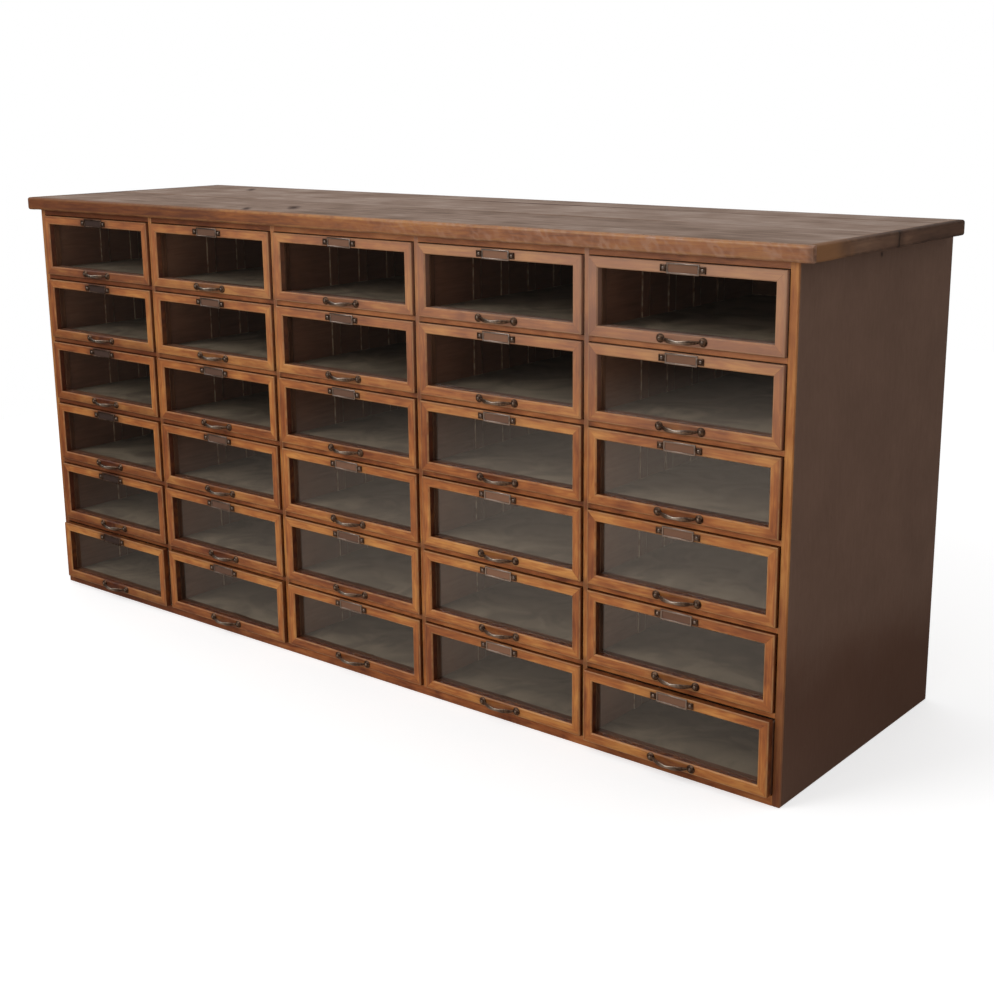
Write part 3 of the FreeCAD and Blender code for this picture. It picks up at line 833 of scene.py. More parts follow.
@dataclass(frozen=True)
class AgedCard(Finish):
    """Rag card gone brown, with ruled lines in faded ink.

    Attributes:
        paper: Colour of the card.
        stained: Colour of its stains.
        ink: Colour of the ruled lines.
        dirt: Colour where it was handled.
    """

    paper: str = "#8c6247"
    stained: str = "#6a4a3a"
    ink: str = "#4e3428"
    dirt: str = "#301b11"

    def shader(self, add: Adder) -> Socket:
        """Nodes of the card: stains, dirt by the second fact, and lines 3.5 mm apart by a sine.

        Args:
            add: Adds a node.

        Returns:
            The shader.
        """
        spot = add("TexCoord")
        fibre = add("TexNoise", spot, Scale=900.0, Detail=3.0)
        stain = add("TexNoise", spot, Scale=30.0, Detail=3.0)
        base = add("Mix RGBA", add("Math MULTIPLY", stain, 0.5), self.paper, self.stained)
        base = add("Mix RGBA", add("SeparateXYZ", add("Attribute facts"), out="Y"), base, self.dirt)
        across = add("SeparateXYZ", add("Attribute grain"), out="Y")
        lines = add("Math SINE", add("Math MULTIPLY", across, 1800.0))
        base = add("Mix RGBA", add("MapRange", lines, 0.75, 0.95, 0.0, 0.5), base, self.ink)
        return add("BsdfPrincipled", Base_Color=base, Roughness=0.85,
                   Normal=add("Bump", Strength=0.3, Distance=0.00005, Height=fibre))


@dataclass(frozen=True)
class DustyBoard(Finish):
    """Thin grey board lining a drawer, mottled by damp and with dust gathered on it.

    Attributes:
        pale: Colour of the board.
        deep: Colour of the damp patches.
        speck: Colour of the dust.
    """

    pale: str = "#8b8072"
    deep: str = "#685e54"
    speck: str = "#4d463c"

    def shader(self, add: Adder) -> Socket:
        """Nodes of the board: broad patches, and fine specks of dust.

        Args:
            add: Adds a node.

        Returns:
            The shader.
        """
        spot = add("TexCoord")
        patches = add("TexNoise", spot, Scale=9.0, Detail=3.0, Distortion=1.5)
        specks = add("TexNoise", spot, Scale=420.0, Detail=2.0)
        base = add("Mix RGBA", add("MapRange", patches, 0.36, 0.62), self.deep, self.pale)
        base = add("Mix RGBA", add("MapRange", specks, 0.6, 0.75, 0.0, 0.35), base, self.speck)
        return add("BsdfPrincipled", Base_Color=base, Roughness=0.8,
                   Normal=add("Bump", Strength=0.4, Distance=0.0004, Height=patches))


@dataclass(frozen=True)
class DullSteel(Finish):
    """Bright steel screw gone dull, with spots of rust.

    Attributes:
        metal: Colour of the steel.
        rust: Colour of the rust.
    """

    metal: str = "#77736d"
    rust: str = "#4a3527"

    def shader(self, add: Adder) -> Socket:
        """Nodes of the steel, with patches of rust.

        Args:
            add: Adds a node.

        Returns:
            The shader.
        """
        rust = add("TexNoise", add("TexCoord"), Scale=320.0, Detail=3.0)
        base = add("Mix RGBA", add("MapRange", rust, 0.45, 0.7, 0.0, 0.8), self.metal, self.rust)
        return add("BsdfPrincipled", Base_Color=base, Metallic=1.0, Roughness=0.48)


class Finishes:
    """The finishes that the cabinet's pieces share."""

    def __init__(self) -> None:
        """Make each material once."""
        # Planed and varnished oak: golden, with soft streaks, darker and redder where hands have been and in
        # painted shade, and pale with a painted sheen at the top right.
        self.frame_oak = FadedWood(
            "Oak, varnished", "#7d3d16", "#ab6229", "#cd8a42", "#dca96c", "#4c200e", unevenness=0.45,
            streak_mm=3.5, length_mm=110.0, cloud_mm=80.0, wear=0.7, painted_sheen_and_dent_rims="#b28d78", painted_sheen_share=0.6,
            left_share=0.15).material()
        # The same on the end stiles, which turn red-brown towards the floor, with little painted sheen.
        self.stile_oak = FadedWood(
            "Oak stile, varnished", "#84431a", "#ad672a", "#c98640", "#c98b4c", "#4a2212", unevenness=0.45,
            length_mm=120.0, cloud_mm=90.0, painted_sheen_share=0.15, low_share=0.75, left_share=0.35).material()
        # Planed oak under red varnish: a duller, redder line between the fronts, with some painted sheen at
        # the top right.
        self.rail_oak = FadedWood(
            "Oak, red varnish", "#70371b", "#a15b2c", "#bb7640", "#c48650", "#431b0e", gloss=0.25,
            varnish=0.0, length_mm=90.0, cloud_mm=60.0, painted_sheen_share=0.3, left_share=0.75).material()
        # Planed oak strip, varnished and knocked: open dark pores, pale rims of dents at the right, and some
        # painted sheen at the top right.
        self.edging_oak = DentedOak(
            "Oak edging, varnished", "#622e12", "#93521f", "#b07232", "#bb843f", "#3a1d10", length_mm=120.0,
            contrast=0.55, unevenness=0.55, pores=0.5, relief_mm=0.3, gloss=0.3, painted_sheen_and_dent_rims="#a98068",
            painted_sheen_share=0.28, left_share=0.35).material()
        # Planed oak under dark stain, never varnished: almost even grey-brown, dull.
        self.side_oak = StainedSide(
            "Oak, dark stained", "#5c4437", "#6e5344", "#7f6251", "#8a6850", "#2e1f18", contrast=0.16,
            unevenness=0.15, roughness=0.55, gloss=0.2, varnish=0.0, streak_mm=3.0, length_mm=60.0,
            cloud_mm=120.0, relief_mm=0.08, knots=((947.7, -4, 861, 5),)).material()
        # The same stain on the strips of the sides, worn through near the front.
        self.side_edging = HandledEdging(
            "Oak edging, dark stained", "#443127", "#624636", "#7c5c46", "#3f2e24", "#2b1f18", contrast=0.35,
            roughness=0.5, gloss=0.25, varnish=0.0, streak_mm=5.0).material()
        # Sawn oak worn bare: matte, grey-brown in long blotches, with knots and checks.
        self.plank = WeatheredPlank(
            "Oak, weathered", "#6a5444", "#957d6e", "#b5a093", "#9a7350", "#38211a", unevenness=0.36,
            roughness=0.68, gloss=0.2, varnish=0.0, streak_mm=5.0, length_mm=220.0, cloud_mm=110.0,
            relief_mm=0.25,
            knots=((-750, 166, 900, 17), (-227, -186, 900, 20), (-287, -257, 900, 15))).material()
        # Sawn deal under thin brown stain: dull and even, its arrises rubbed pale by what was put in, with a
        # painted highlight that draws the battens' edges as light lines.
        stained_deal = {"roughness": 0.6, "gloss": 0.25, "varnish": 0.0}
        self.deal = Wood("Deal, dark stained", "#66412f", "#7d5442", "#8e6550", "#cfb9a3", "#3a261d",
                         wear=0.95, contrast=0.3, **stained_deal).material()
        # Planed deal under a thicker coat of the same stain: a dark, quiet line round each pane.
        self.bead = Wood("Deal bead, dark stained", "#42291c", "#5f4030", "#75523e", "#80604a", "#2a1d17",
                         **stained_deal).material()
        # Sawn pine left bare: matte, yellow-brown, with broad streaks.
        pine = Wood("Pine, bare", "#5f432b", "#836345", "#a0805c", "#a98b68", "#4a3424", roughness=0.7,
                    varnish=0.0, streak_mm=6.0, length_mm=300.0, unevenness=0.18, contrast=0.4)
        self.pine = {grain: pine.material(grain) for grain in Grain}
        # Rolled grey board, never coated: a pale, chalky floor that lights the inside of a drawer from below.
        self.floor_board = DustyBoard("Grey board, dusty").material()
        # Sheet glass drawn flat: nearly unseen, until it mirrors the floor as a faint veil.
        self.glass = PaneGlass("Drawn sheet glass").material()
        # Sand-cast bronze, patinated: brown-black and dull, with a painted glint along the middle of each
        # bow.
        self.bronze = AgedBronze("Cast bronze, aged", "#46332a", "#755d4b", "#ddd0c2").material()
        # Sheet bronze pressed in a die: greyer and smoother, with a painted highlight on the rims, strongest
        # on drawers that hands left alone.
        self.pressed_bronze = AgedBronze("Pressed bronze, aged", "#4a382e", "#7a6455", "#c9bab0").material()
        # Rag card, cut and ruled: matte brown, nearly black where many fingers pulled the drawer by it.
        self.card = AgedCard("Rag card, faded").material()
        # Turned steel screw, once bright: grey with rust, a dull dot in the pale pine.
        self.steel = DullSteel("Steel screw, dull").material()


# ---- carcass ----------------------------------------------------------------------------------------

def hand_grime(centres: Iterable[tuple[float, float]], reach: tuple[float, float],
               strength: float = 1.0) -> Field:
    """Grime round handled places: strength exp(-((x - cx) / rx)^4 - ((z - cz) / rz)^4) for each centre.

    Args:
        centres: X and Z of each place.
        reach: How far it spreads along X and Z.
        strength: Grime at the middle.

    Returns:
        Function from points to grime.
    """
    spots = list(centres)

    def grime(points: Array) -> Array:
        """Largest grime of any place at each point.

        Args:
            points: The points.

        Returns:
            The grime.
        """
        x, z = points[..., 0], points[..., 2]
        each = [np.exp(-((x - cx) / reach[0]) ** 4 - ((z - cz) / reach[1]) ** 4) for cx, cz in spots]
        return strength * np.max(each, axis=0)

    return grime


def raised(rise: Array) -> Array:
    """Offsets (0, 0, rise) of points that move straight up."""
    return np.stack([np.zeros(rise.shape), np.zeros(rise.shape), rise], axis=-1)


@dataclass
class Carcass:
    """The fixed part: sides, partitions, face frame, runners, back and top.

    Attributes:
        finishes: The shared materials.
        opening_width: Width of a drawer's opening.
        opening_height: Height of a drawer's opening.
        upright_width: Width of the muntins.
        side_thickness: Thickness of the sides.
        facing_thickness: Thickness of the end stiles and muntins.
        rail_height: Height of the rails between drawers.
        rail_depth: Depth of the rails.
        top_rail_height: Height of the rail under the top.
        bottom_rail_height: Height of the rail on the floor.
        body_depth: Depth of the sides and their facings.
        scribe_margin: How far the sides run past the back.
        back_thickness: Thickness of the back boards.
        back_boards: Number of back boards.
        board_gap: Gap between two back boards.
        top_thickness: Thickness of the top.
        side_overhang: How far the top stands out at the sides.
        front_overhang: How far the top stands out at the front.
        edging_width: Width of the edging round the top.
        arris_radius: Radius of the edging's outer arrises.
        flush_radius: Radius of the edging's arrises along the planks.
        plank_seams: Y of the two lengthwise seams.
        edging_joint: Y of the joint in the right edging.
    """

    finishes: Finishes
    opening_width: float = 366.0
    opening_height: float = 133.0
    upright_width: float = 9.6
    side_thickness: float = 13.5
    facing_thickness: float = 6.0
    rail_height: float = 9.3
    rail_depth: float = 20.0
    top_rail_height: float = 11.0
    bottom_rail_height: float = 17.5
    body_depth: float = 564.0
    scribe_margin: float = 25.0
    back_thickness: float = 10.0
    back_boards: int = 8
    board_gap: float = 1.0
    top_thickness: float = 27.0
    side_overhang: float = 30.0
    front_overhang: float = 15.0
    edging_width: float = 10.0
    arris_radius: float = 4.5
    flush_radius: float = 0.5
    plank_seams: tuple[float, float] = (-53.0, 163.0)
    edging_joint: float = -7.0

    def __post_init__(self) -> None:
        """Work out where the faces and ends lie.

        front, rear and depth_end are the Y of the face frame, the back and the sides' rear ends. inner_half
        and outer_half are half of the width between and over the sides, top_half and plank_half half of the
        width over the edging and the planks. height and top are the Z of the top's under and upper side.
        """
        self.front, self.depth_end = -self.body_depth / 2, self.body_depth / 2
        self.rear = self.depth_end - self.scribe_margin
        self.inner_half = (COLUMNS * self.opening_width + (COLUMNS - 1) * self.upright_width) / 2
        self.outer_half = self.inner_half + self.side_thickness
        self.top_half = self.outer_half + self.side_overhang
        self.plank_half = self.top_half - self.edging_width
        self.height = (self.bottom_rail_height + ROWS * self.opening_height + (ROWS - 1) * self.rail_height
                       + self.top_rail_height)
        self.top = self.height + self.top_thickness

    def column_middle(self, column: int) -> float:
        """X of a column's middle, with column 1 at the left."""
        return (column - (COLUMNS + 1) / 2) * (self.opening_width + self.upright_width)

    def opening_floor(self, row: int) -> float:
        """Z of the floor of a row's openings, with row 1 at the top."""
        return self.bottom_rail_height + (ROWS - row) * (self.opening_height + self.rail_height)

    def fixed(self, name: str, surfaces: Sequence[Surface], material: Material) -> None:
        """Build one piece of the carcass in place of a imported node.

        Args:
            name: Name of the node.
            surfaces: Surfaces of the piece.
            material: Its finish.
        """
        build_piece(f"{name}_dressed", surfaces, material, "carcass", name)

    def sides(self) -> None:
        """Side panels and the end stiles on their front edges."""
        facing = self.front + self.facing_thickness
        for number, (side, sign) in enumerate((("left", -1), ("right", 1))):
            low, high = sorted((sign * self.inner_half, sign * self.outer_half))
            panel = board((low, facing, 0), (high, self.depth_end, self.height), 2, arris=0.9, hold=5.0,
                          pitch=60.0, seed=11 + number)
            stile = board((low, self.front, 0), (high, facing, self.height), 2, arris=0.9, hold=2.4,
                          pitch=20.0, seed=21 + number, tone=0.5)
            self.fixed(f"side_panel_{side}", [panel], self.finishes.side_oak)
            self.fixed(f"end_stile_{side}", [stile], self.finishes.stile_oak)

    def crossings(self) -> Field:
        """Redder, dirtier spots where rails meet uprights.

        Returns:
            Function from points to grime.
        """
        beside = (self.opening_width + self.upright_width) / 2
        xs = [self.column_middle(column) + beside for column in range(1, COLUMNS)]
        zs = [self.opening_floor(row) - self.rail_height / 2 for row in range(1, ROWS)]
        return hand_grime([(x, z) for x in xs for z in zs], (14.0, 12.0), 0.65)

    def uprights(self) -> None:
        """Muntins on the front edges of the partitions."""
        for number in range(1, COLUMNS):
            low = self.column_middle(number) + self.opening_width / 2
            high = low + self.upright_width
            muntin = board((low, self.front, self.bottom_rail_height),
                           (high, self.front + self.facing_thickness, self.height), 2, arris=0.7, hold=2.4,
                           pitch=8.0, seed=30 + number, tone=-0.2, grime=self.crossings())
            self.fixed(f"muntin_{number}", [muntin], self.finishes.frame_oak)

    def rails(self) -> None:
        """Bottom rail, the short rails between the drawers, and the short rails under the top."""
        back = self.front + self.rail_depth
        columns = range(1, COLUMNS + 1)
        foot_grime = hand_grime([(self.column_middle(column), 0.0) for column in columns], (160.0, 4.0), 0.5)
        bottom_rail = board(
            (-self.inner_half, self.front, 0), (self.inner_half, back, self.bottom_rail_height), 0,
            arris=0.8, hold=2.5, pitch=25.0, seed=41, tone=-0.3, grime=foot_grime)
        made = {"bottom_rail": [bottom_rail], "top_rail": [], "drawer_rails": []}
        for column in columns:
            low = self.column_middle(column) - self.opening_width / 2
            high = low + self.opening_width
            made["top_rail"].append(board(
                (low, self.front, self.height - self.top_rail_height), (high, back, self.height), 0,
                arris=0.6, hold=2.0, pitch=12.0, seed=50 + column))
            for row in range(1, ROWS):
                top = self.opening_floor(row)
                made["drawer_rails"].append(board(
                    (low, self.front, top - self.rail_height), (high, back, top), 0, arris=0.7, hold=2.0,
                    pitch=12.0, seed=60 + 10 * row + column, grime=self.crossings()))
        for name, rails in made.items():
            self.fixed(name, rails, self.finishes.rail_oak)

    def back(self) -> None:
        """Upright boards of the back, each a little apart from the next."""
        edges = np.linspace(-self.inner_half, self.inner_half, self.back_boards + 1)
        boards = [board((low + self.board_gap / 2, self.rear - self.back_thickness, 0),
                        (high - self.board_gap / 2, self.rear, self.height), 2,
                        arris=0.8, hold=4.0, pitch=90.0, seed=130 + number)
                  for number, (low, high) in enumerate(zip(edges[:-1], edges[1:]))]
        self.fixed("back_boards", boards, self.finishes.pine[Grain.BOARD])

    def planks(self) -> None:
        """Three lengthwise planks of the top, slightly cupped and uneven along their seams."""
        edges = (self.front + self.edging_width - self.front_overhang, *self.plank_seams, self.rear)
        for number, (name, low, high) in enumerate(zip(("front", "middle", "rear"), edges[:-1], edges[1:])):
            plank = board((-self.plank_half, low, self.height), (self.plank_half, high, self.top), 0,
                          arris=1.1, hold=10.0, pitch=40.0, seed=150 + number, grime=self.seam_dirt,
                          warp=partial(self.cup, low=low, high=high, number=number))
            self.fixed(f"top_plank_{name}", [plank], self.finishes.plank)

    def cup(self, points: Array, low: float, high: float, number: int) -> Array:
        """Cup of 0.35 mm, deepest in the middle by 1 - s^2, and a ripple of 0.5 mm by a sine lengthwise.

        Args:
            points: Places on the plank.
            low: Y of its front edge.
            high: Y of its rear edge.
            number: Number of the plank, which shifts the ripple.

        Returns:
            Offset of each point, zero on the plank's underside.
        """
        across = (2 * points[..., 1] - low - high) / (high - low)
        drop = 0.35 * (1 - across ** 2) + 0.25 * (1 + np.sin(points[..., 0] / 170.0 + 2.1 * number))
        return raised(-drop * (points[..., 2] > self.height + self.top_thickness / 2))

    def seam_dirt(self, points: Array) -> Array:
        """Dirt along the rear and in the seams: strength exp(-(d / 4)^2), d the distance from each.

        Args:
            points: Places on the planks.

        Returns:
            The dirt at each point, strongest in the middle of the rear seam, by exp(-((x - 300) / 350)^4).
        """
        x, y = points[..., 0], points[..., 1]
        middle = np.exp(-((x - 300.0) / 350.0) ** 4)
        lines = ((self.rear, 0.6), (self.plank_seams[0], 0.3), (self.plank_seams[1], 0.35 + 0.65 * middle))
        return np.max([strength * np.exp(-((y - line) / 4.0) ** 2) for line, strength in lines], axis=0)

    def edging(self) -> None:
        """Strips round the front and sides of the top, rounded outside and worn along the lower edge."""
        outer, flush, half = self.arris_radius, self.flush_radius, self.top_half
        front = self.front - self.front_overhang
        behind = front + self.edging_width
        strip = board((-half, front, self.height), (half, behind, self.top), 0, hold=6.0, pivot=(1.0, 0.0),
                      radii=(flush, outer, outer, flush), end_radii=(6.0, 1.5), pitch=10.0, steps=4, seed=161,
                      warp=self.knocks, grime=self.front_dirt_and_shade)
        self.fixed("top_edging_front", [strip], self.finishes.edging_oak)
        at_left = (-half, -self.plank_half, (flush, flush, outer, outer))
        at_right = (self.plank_half, half, (outer, outer, flush, flush))
        # Name, place across, start, end, and the radius of the rear end.
        runs = (("left", at_left, behind, self.rear, 3.0),
                ("right_front", at_right, behind, self.edging_joint, 0.4),
                ("right_rear", at_right, self.edging_joint, self.rear, 3.0))
        for number, (name, (low, high, radii), start, end, rear_radius) in enumerate(runs):
            strip = board((low, start, self.height), (high, end, self.top), 1, hold=6.0, radii=radii,
                          end_radii=(0.4, rear_radius), pitch=20.0, steps=4, seed=170 + number, tone=-0.8,
                          warp=self.knocks, grime=self.joint_dirt)
            self.fixed(f"top_edging_{name}", [strip], self.finishes.side_edging)

    def front_dirt_and_shade(self, points: Array) -> Array:
        """Dirt and shade on the front strip: dirt in its ends, painted shade along its lower arris, and stain
        over its first length.

        Args:
            points: Places on the strip.

        Returns:
            The largest of 0.9 exp(-(d / 7)^4) with d the distance from an end, 0.45 exp(-(h / 6)^2) with h
            the height over the lower arris, and a step of 0.4 down to 0 at x = -326.
        """
        x, z = points[..., 0], points[..., 2]
        ends = 0.9 * np.exp(-((np.abs(x) - self.top_half) / 7.0) ** 4)
        # Painted shade along the lower arris, drawn in the dirt colour.
        lower = 0.45 * np.exp(-((z - self.height) / 6.0) ** 2)
        first = 0.4 / (1.0 + np.exp((x + 326.0) / 4.0))
        return np.max([ends, lower, first], axis=0)

    def joint_dirt(self, points: Array) -> Array:
        """Dirt in the right edging's joint and along the planks.

        Args:
            points: Places on the strip.

        Returns:
            0.9 exp(-(d / reach)^2), with d the distance and reach 5 mm at the joint and 2.5 mm at the planks.
        """
        joint = ((points[..., 1] - self.edging_joint) / 5.0) ** 2
        seam = ((np.abs(points[..., 0]) - self.plank_half) / 2.5) ** 2
        return 0.9 * np.exp(-np.minimum(joint, seam))

    def knocks(self, points: Array) -> Array:
        """Small dents along a strip, whose lower arris wanders up.

        Args:
            points: Places on the strip.

        Returns:
            Offset of each point: 0.45 of the sum of three sines of the place along, where that is above 0.
        """
        along = points[..., 0] + 1.7 * points[..., 1]
        wave = np.sin(along / 23.0) + np.sin(along / 61.0 + 1.3) + np.sin(along / 11.0 + 0.4)
        return raised((points[..., 2] < self.height + 4) * np.clip(wave, 0, None) * 0.45)

    def hidden(self) -> None:
        """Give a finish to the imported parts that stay: partitions, runners, stops, rails and screws."""
        pine = self.finishes.pine
        kept = {f"partition_{number}": pine[Grain.ALONG_Z] for number in range(1, COLUMNS)}
        kept |= dict.fromkeys(("drawer_runners", "top_kickers"), pine[Grain.ALONG_Y])
        kept |= dict.fromkeys(("drawer_stops", "bottom_board", "back_rails"), pine[Grain.ALONG_X])
        kept["back_screws"] = self.finishes.steel
        for name, material in kept.items():
            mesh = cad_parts[name].data
            mesh.materials.clear()
            mesh.materials.append(material)
            LOG.info("%s keeps its packed shape, in %s", name, material.name)

    def build(self) -> None:
        """Build every piece of the carcass."""
        for step in (self.sides, self.uprights, self.rails, self.back, self.planks, self.edging, self.hidden):
            step()


# ---- drawers ----------------------------------------------------------------------------------------

@dataclass
class BowPull:
    """Cast pull: two turned bosses and a bow between them, leaf-shaped at the ends, with a knuckle.

    Attributes:
        centres: Distance between the bosses.
        height: Height of the bosses over the opening's floor.
        inset: Distance from a boss's middle to the bow's end.
        seat: Distance from the wood to the bow's ends.
        bow: Rise of the bow.
        droop: Angle in degrees by which the bow leans down.
        boss_profile: Radius and height of a boss from the wood outwards.
        screw_profile: The same of its screw.
    """

    centres: float = 79.0
    height: float = 10.5
    inset: float = 5.5
    seat: float = 3.0
    bow: float = 12.0
    droop: float = 8.0
    boss_profile: tuple[tuple[float, float], ...] = (
        (7.5, 0.0), (7.5, 0.9), (7.1, 1.5), (6.3, 1.8), (6.0, 2.5), (5.6, 3.3), (4.8, 3.9), (3.2, 4.0))
    screw_profile: tuple[tuple[float, float], ...] = (
        (2.8, 3.8), (2.75, 4.4), (2.3, 5.0), (1.4, 5.4), (0.5, 5.5))

    def bar(self, face: float, handled: float) -> Surface:
        """Bow of radius R = (s^2 / 4 + b^2) / 2b for span s and rise b, point = R (sin t, cos t) - centre.

        Its section is an ellipse of half height 1.9 + 2.2 sin(pi s), with s from the middle to the end, which
        makes a leaf of each half, and there is a round knuckle between them.

        Args:
            face: Y of the wood's face.
            handled: How much the drawer was handled, which sets the rubbed metal and painted glint along its
                middle.

        Returns:
            The surface.
        """
        span = self.centres - 2 * self.inset
        radius = (span ** 2 / 4 + self.bow ** 2) / (2 * self.bow)
        half_turn = math.asin(span / 2 / radius)
        turns = np.linspace(-half_turn, half_turn, 33)
        lean = math.radians(self.droop)
        out = np.array([0, -math.cos(lean), -math.sin(lean)])
        along = np.array([1.0, 0.0, 0.0])
        forward = radius * np.cos(turns) - (radius - self.bow)
        path = radius * np.sin(turns)[:, None] * along + forward[:, None] * out
        path += (0, face - self.seat, self.height)
        sides = np.sin(turns)[:, None] * along + np.cos(turns)[:, None] * out
        ups = np.broadcast_to(-np.cross(along, out), sides.shape)
        share = np.abs(turns) / half_turn
        knuckle = 0.8 * np.exp(-(path[:, 0] / 2.6) ** 2)
        tall = 1.9 + 2.2 * np.sin(math.pi * share) + knuckle
        thick = 1.6 + 0.5 * share ** 2 + knuckle
        angles = np.linspace(0, 2 * math.pi, 14, endpoint=False)
        outline = np.stack([thick[:, None] * np.cos(angles), tall[:, None] * np.sin(angles)], axis=-1)
        # Rubbed metal and a painted glint along the middle of the bow's front, stronger on drawers handled
        # more.
        middle, outside = np.exp(-(path[:, 0] / 13.0) ** 2), np.clip(np.cos(angles) * 0.5 + 0.5, 0, 1)
        return carried(path, sides, ups, outline, grime=middle[:, None] * outside * (0.3 + 0.6 * handled))

    def surfaces(self, face: float, handled: float) -> list[Surface]:
        """Bosses, screws and bow.

        Args:
            face: Y of the wood's face.
            handled: How much the drawer was handled, from 0 to 1, which sets the rubbed metal and painted
                glint on the bow.

        Returns:
            The surfaces.
        """
        made = [self.bar(face, handled)]
        for side in (-1, 1):
            foot = (side * self.centres / 2, face, self.height)
            made += [turned(self.boss_profile, foot, 24), turned(self.screw_profile, foot, 14, 0.15)]
        return made


@dataclass
class CardHolder:
    """Pressed card holder: a rounded rim round a window, and an ear with two reeds and a screw at each end.

    Attributes:
        middle: Height of its middle over the opening's floor.
        width: Width of the rim.
        height: Height of the rim.
        border: Width of the rim's border.
        thickness: Rise of the rim.
        ear_length: Length of an ear.
        ear_height: Height of an ear.
        ear_thickness: Thickness of an ear.
        reeds: Distances of the reeds from the rim.
        reed_width: Width of a reed.
        reed_rise: How far a reed stands out from its ear.
        card: Width, height and thickness of the card.
        screw_profile: Radius and height of a screw from the wood outwards.
    """

    middle: float = 121.6
    width: float = 60.0
    height: float = 18.0
    border: float = 2.8
    thickness: float = 2.0
    ear_length: float = 12.0
    ear_height: float = 11.0
    ear_thickness: float = 1.5
    reeds: tuple[float, float] = (1.4, 10.4)
    reed_width: float = 1.8
    reed_rise: float = 0.7
    card: tuple[float, float, float] = (57.0, 15.0, 0.5)
    screw_profile: tuple[tuple[float, float], ...] = (
        (2.8, 1.3), (2.75, 2.0), (2.3, 2.5), (1.4, 2.9), (0.5, 3.0))

    def rim(self, face: float, handled: float) -> Surface:
        """Half-round border carried round a rectangle, its corners mitred: point = corner - w (sx, sz).

        Args:
            face: Y of the wood's face.
            handled: How much the drawer was handled, from 0 to 1, which weakens the painted highlight on the
                rim.

        Returns:
            The surface.
        """
        corners = np.array([(1, 0, 1), (-1, 0, 1), (-1, 0, -1), (1, 0, -1)], float)
        path = corners * (self.width / 2, 0, self.height / 2) + (0, face, 0)
        across = np.array([0, 0, 0.1, 0.3, 0.7, 0.9, 1, 1]) * self.border
        rise = np.array([0, 0.5, 0.85, 1, 1, 0.85, 0.5, 0]) * self.thickness
        # Painted highlight on the rim, weaker on drawers handled more.
        return carried(path, -corners, np.tile([0.0, -1.0, 0.0], (4, 1)), np.stack([across, rise], axis=1),
                       closed=True, grime=0.55 * (1 - handled))

    def metal(self, face: float, handled: float) -> list[Surface]:
        """Rim, ears, reeds and screws.

        Args:
            face: Y of the wood's face.
            handled: How much the drawer was handled, from 0 to 1, which weakens the painted highlight on the
                rim.

        Returns:
            The surfaces, in their place on the front.
        """
        made = [self.rim(face, handled)]
        tall = self.ear_height / 2
        for side in (-1, 1):
            low, high = sorted((side * (self.width / 2 - 0.6), side * (self.width / 2 + self.ear_length)))
            made.append(board((low, face - self.ear_thickness, -tall), (high, face, tall), 0, arris=0.5,
                              hold=1.2, end_radii=(1.2, 1.2)))
            out, half = self.ear_thickness + self.reed_rise, self.reed_width / 2
            for reed in self.reeds:
                x = side * (self.width / 2 + reed)
                made.append(board((x - half, face - out, -tall), (x + half, face - 0.4, tall), 2, arris=0.8,
                                  hold=0.9))
            foot = (side * (self.width + self.ear_length) / 2, face, 0)
            made.append(turned(self.screw_profile, foot, 14, 0.3))
        return [surface.shifted(0, 0, self.middle) for surface in made]

    def paper(self, face: float, seed: int, handled: float) -> Surface:
        """The card behind the rim.

        Args:
            face: Y of the wood's face.
            seed: Chooses the place of its stains.
            handled: How dark it has gone, from 0 to 1.

        Returns:
            The surface.
        """
        wide, tall, thick = self.card
        return board((-wide / 2, face - thick, self.middle - tall / 2),
                     (wide / 2, face, self.middle + tall / 2), 0, arris=0.1, hold=0.2, steps=1, seed=seed,
                     grime=lambda points: np.full(points.shape[:-1], handled))


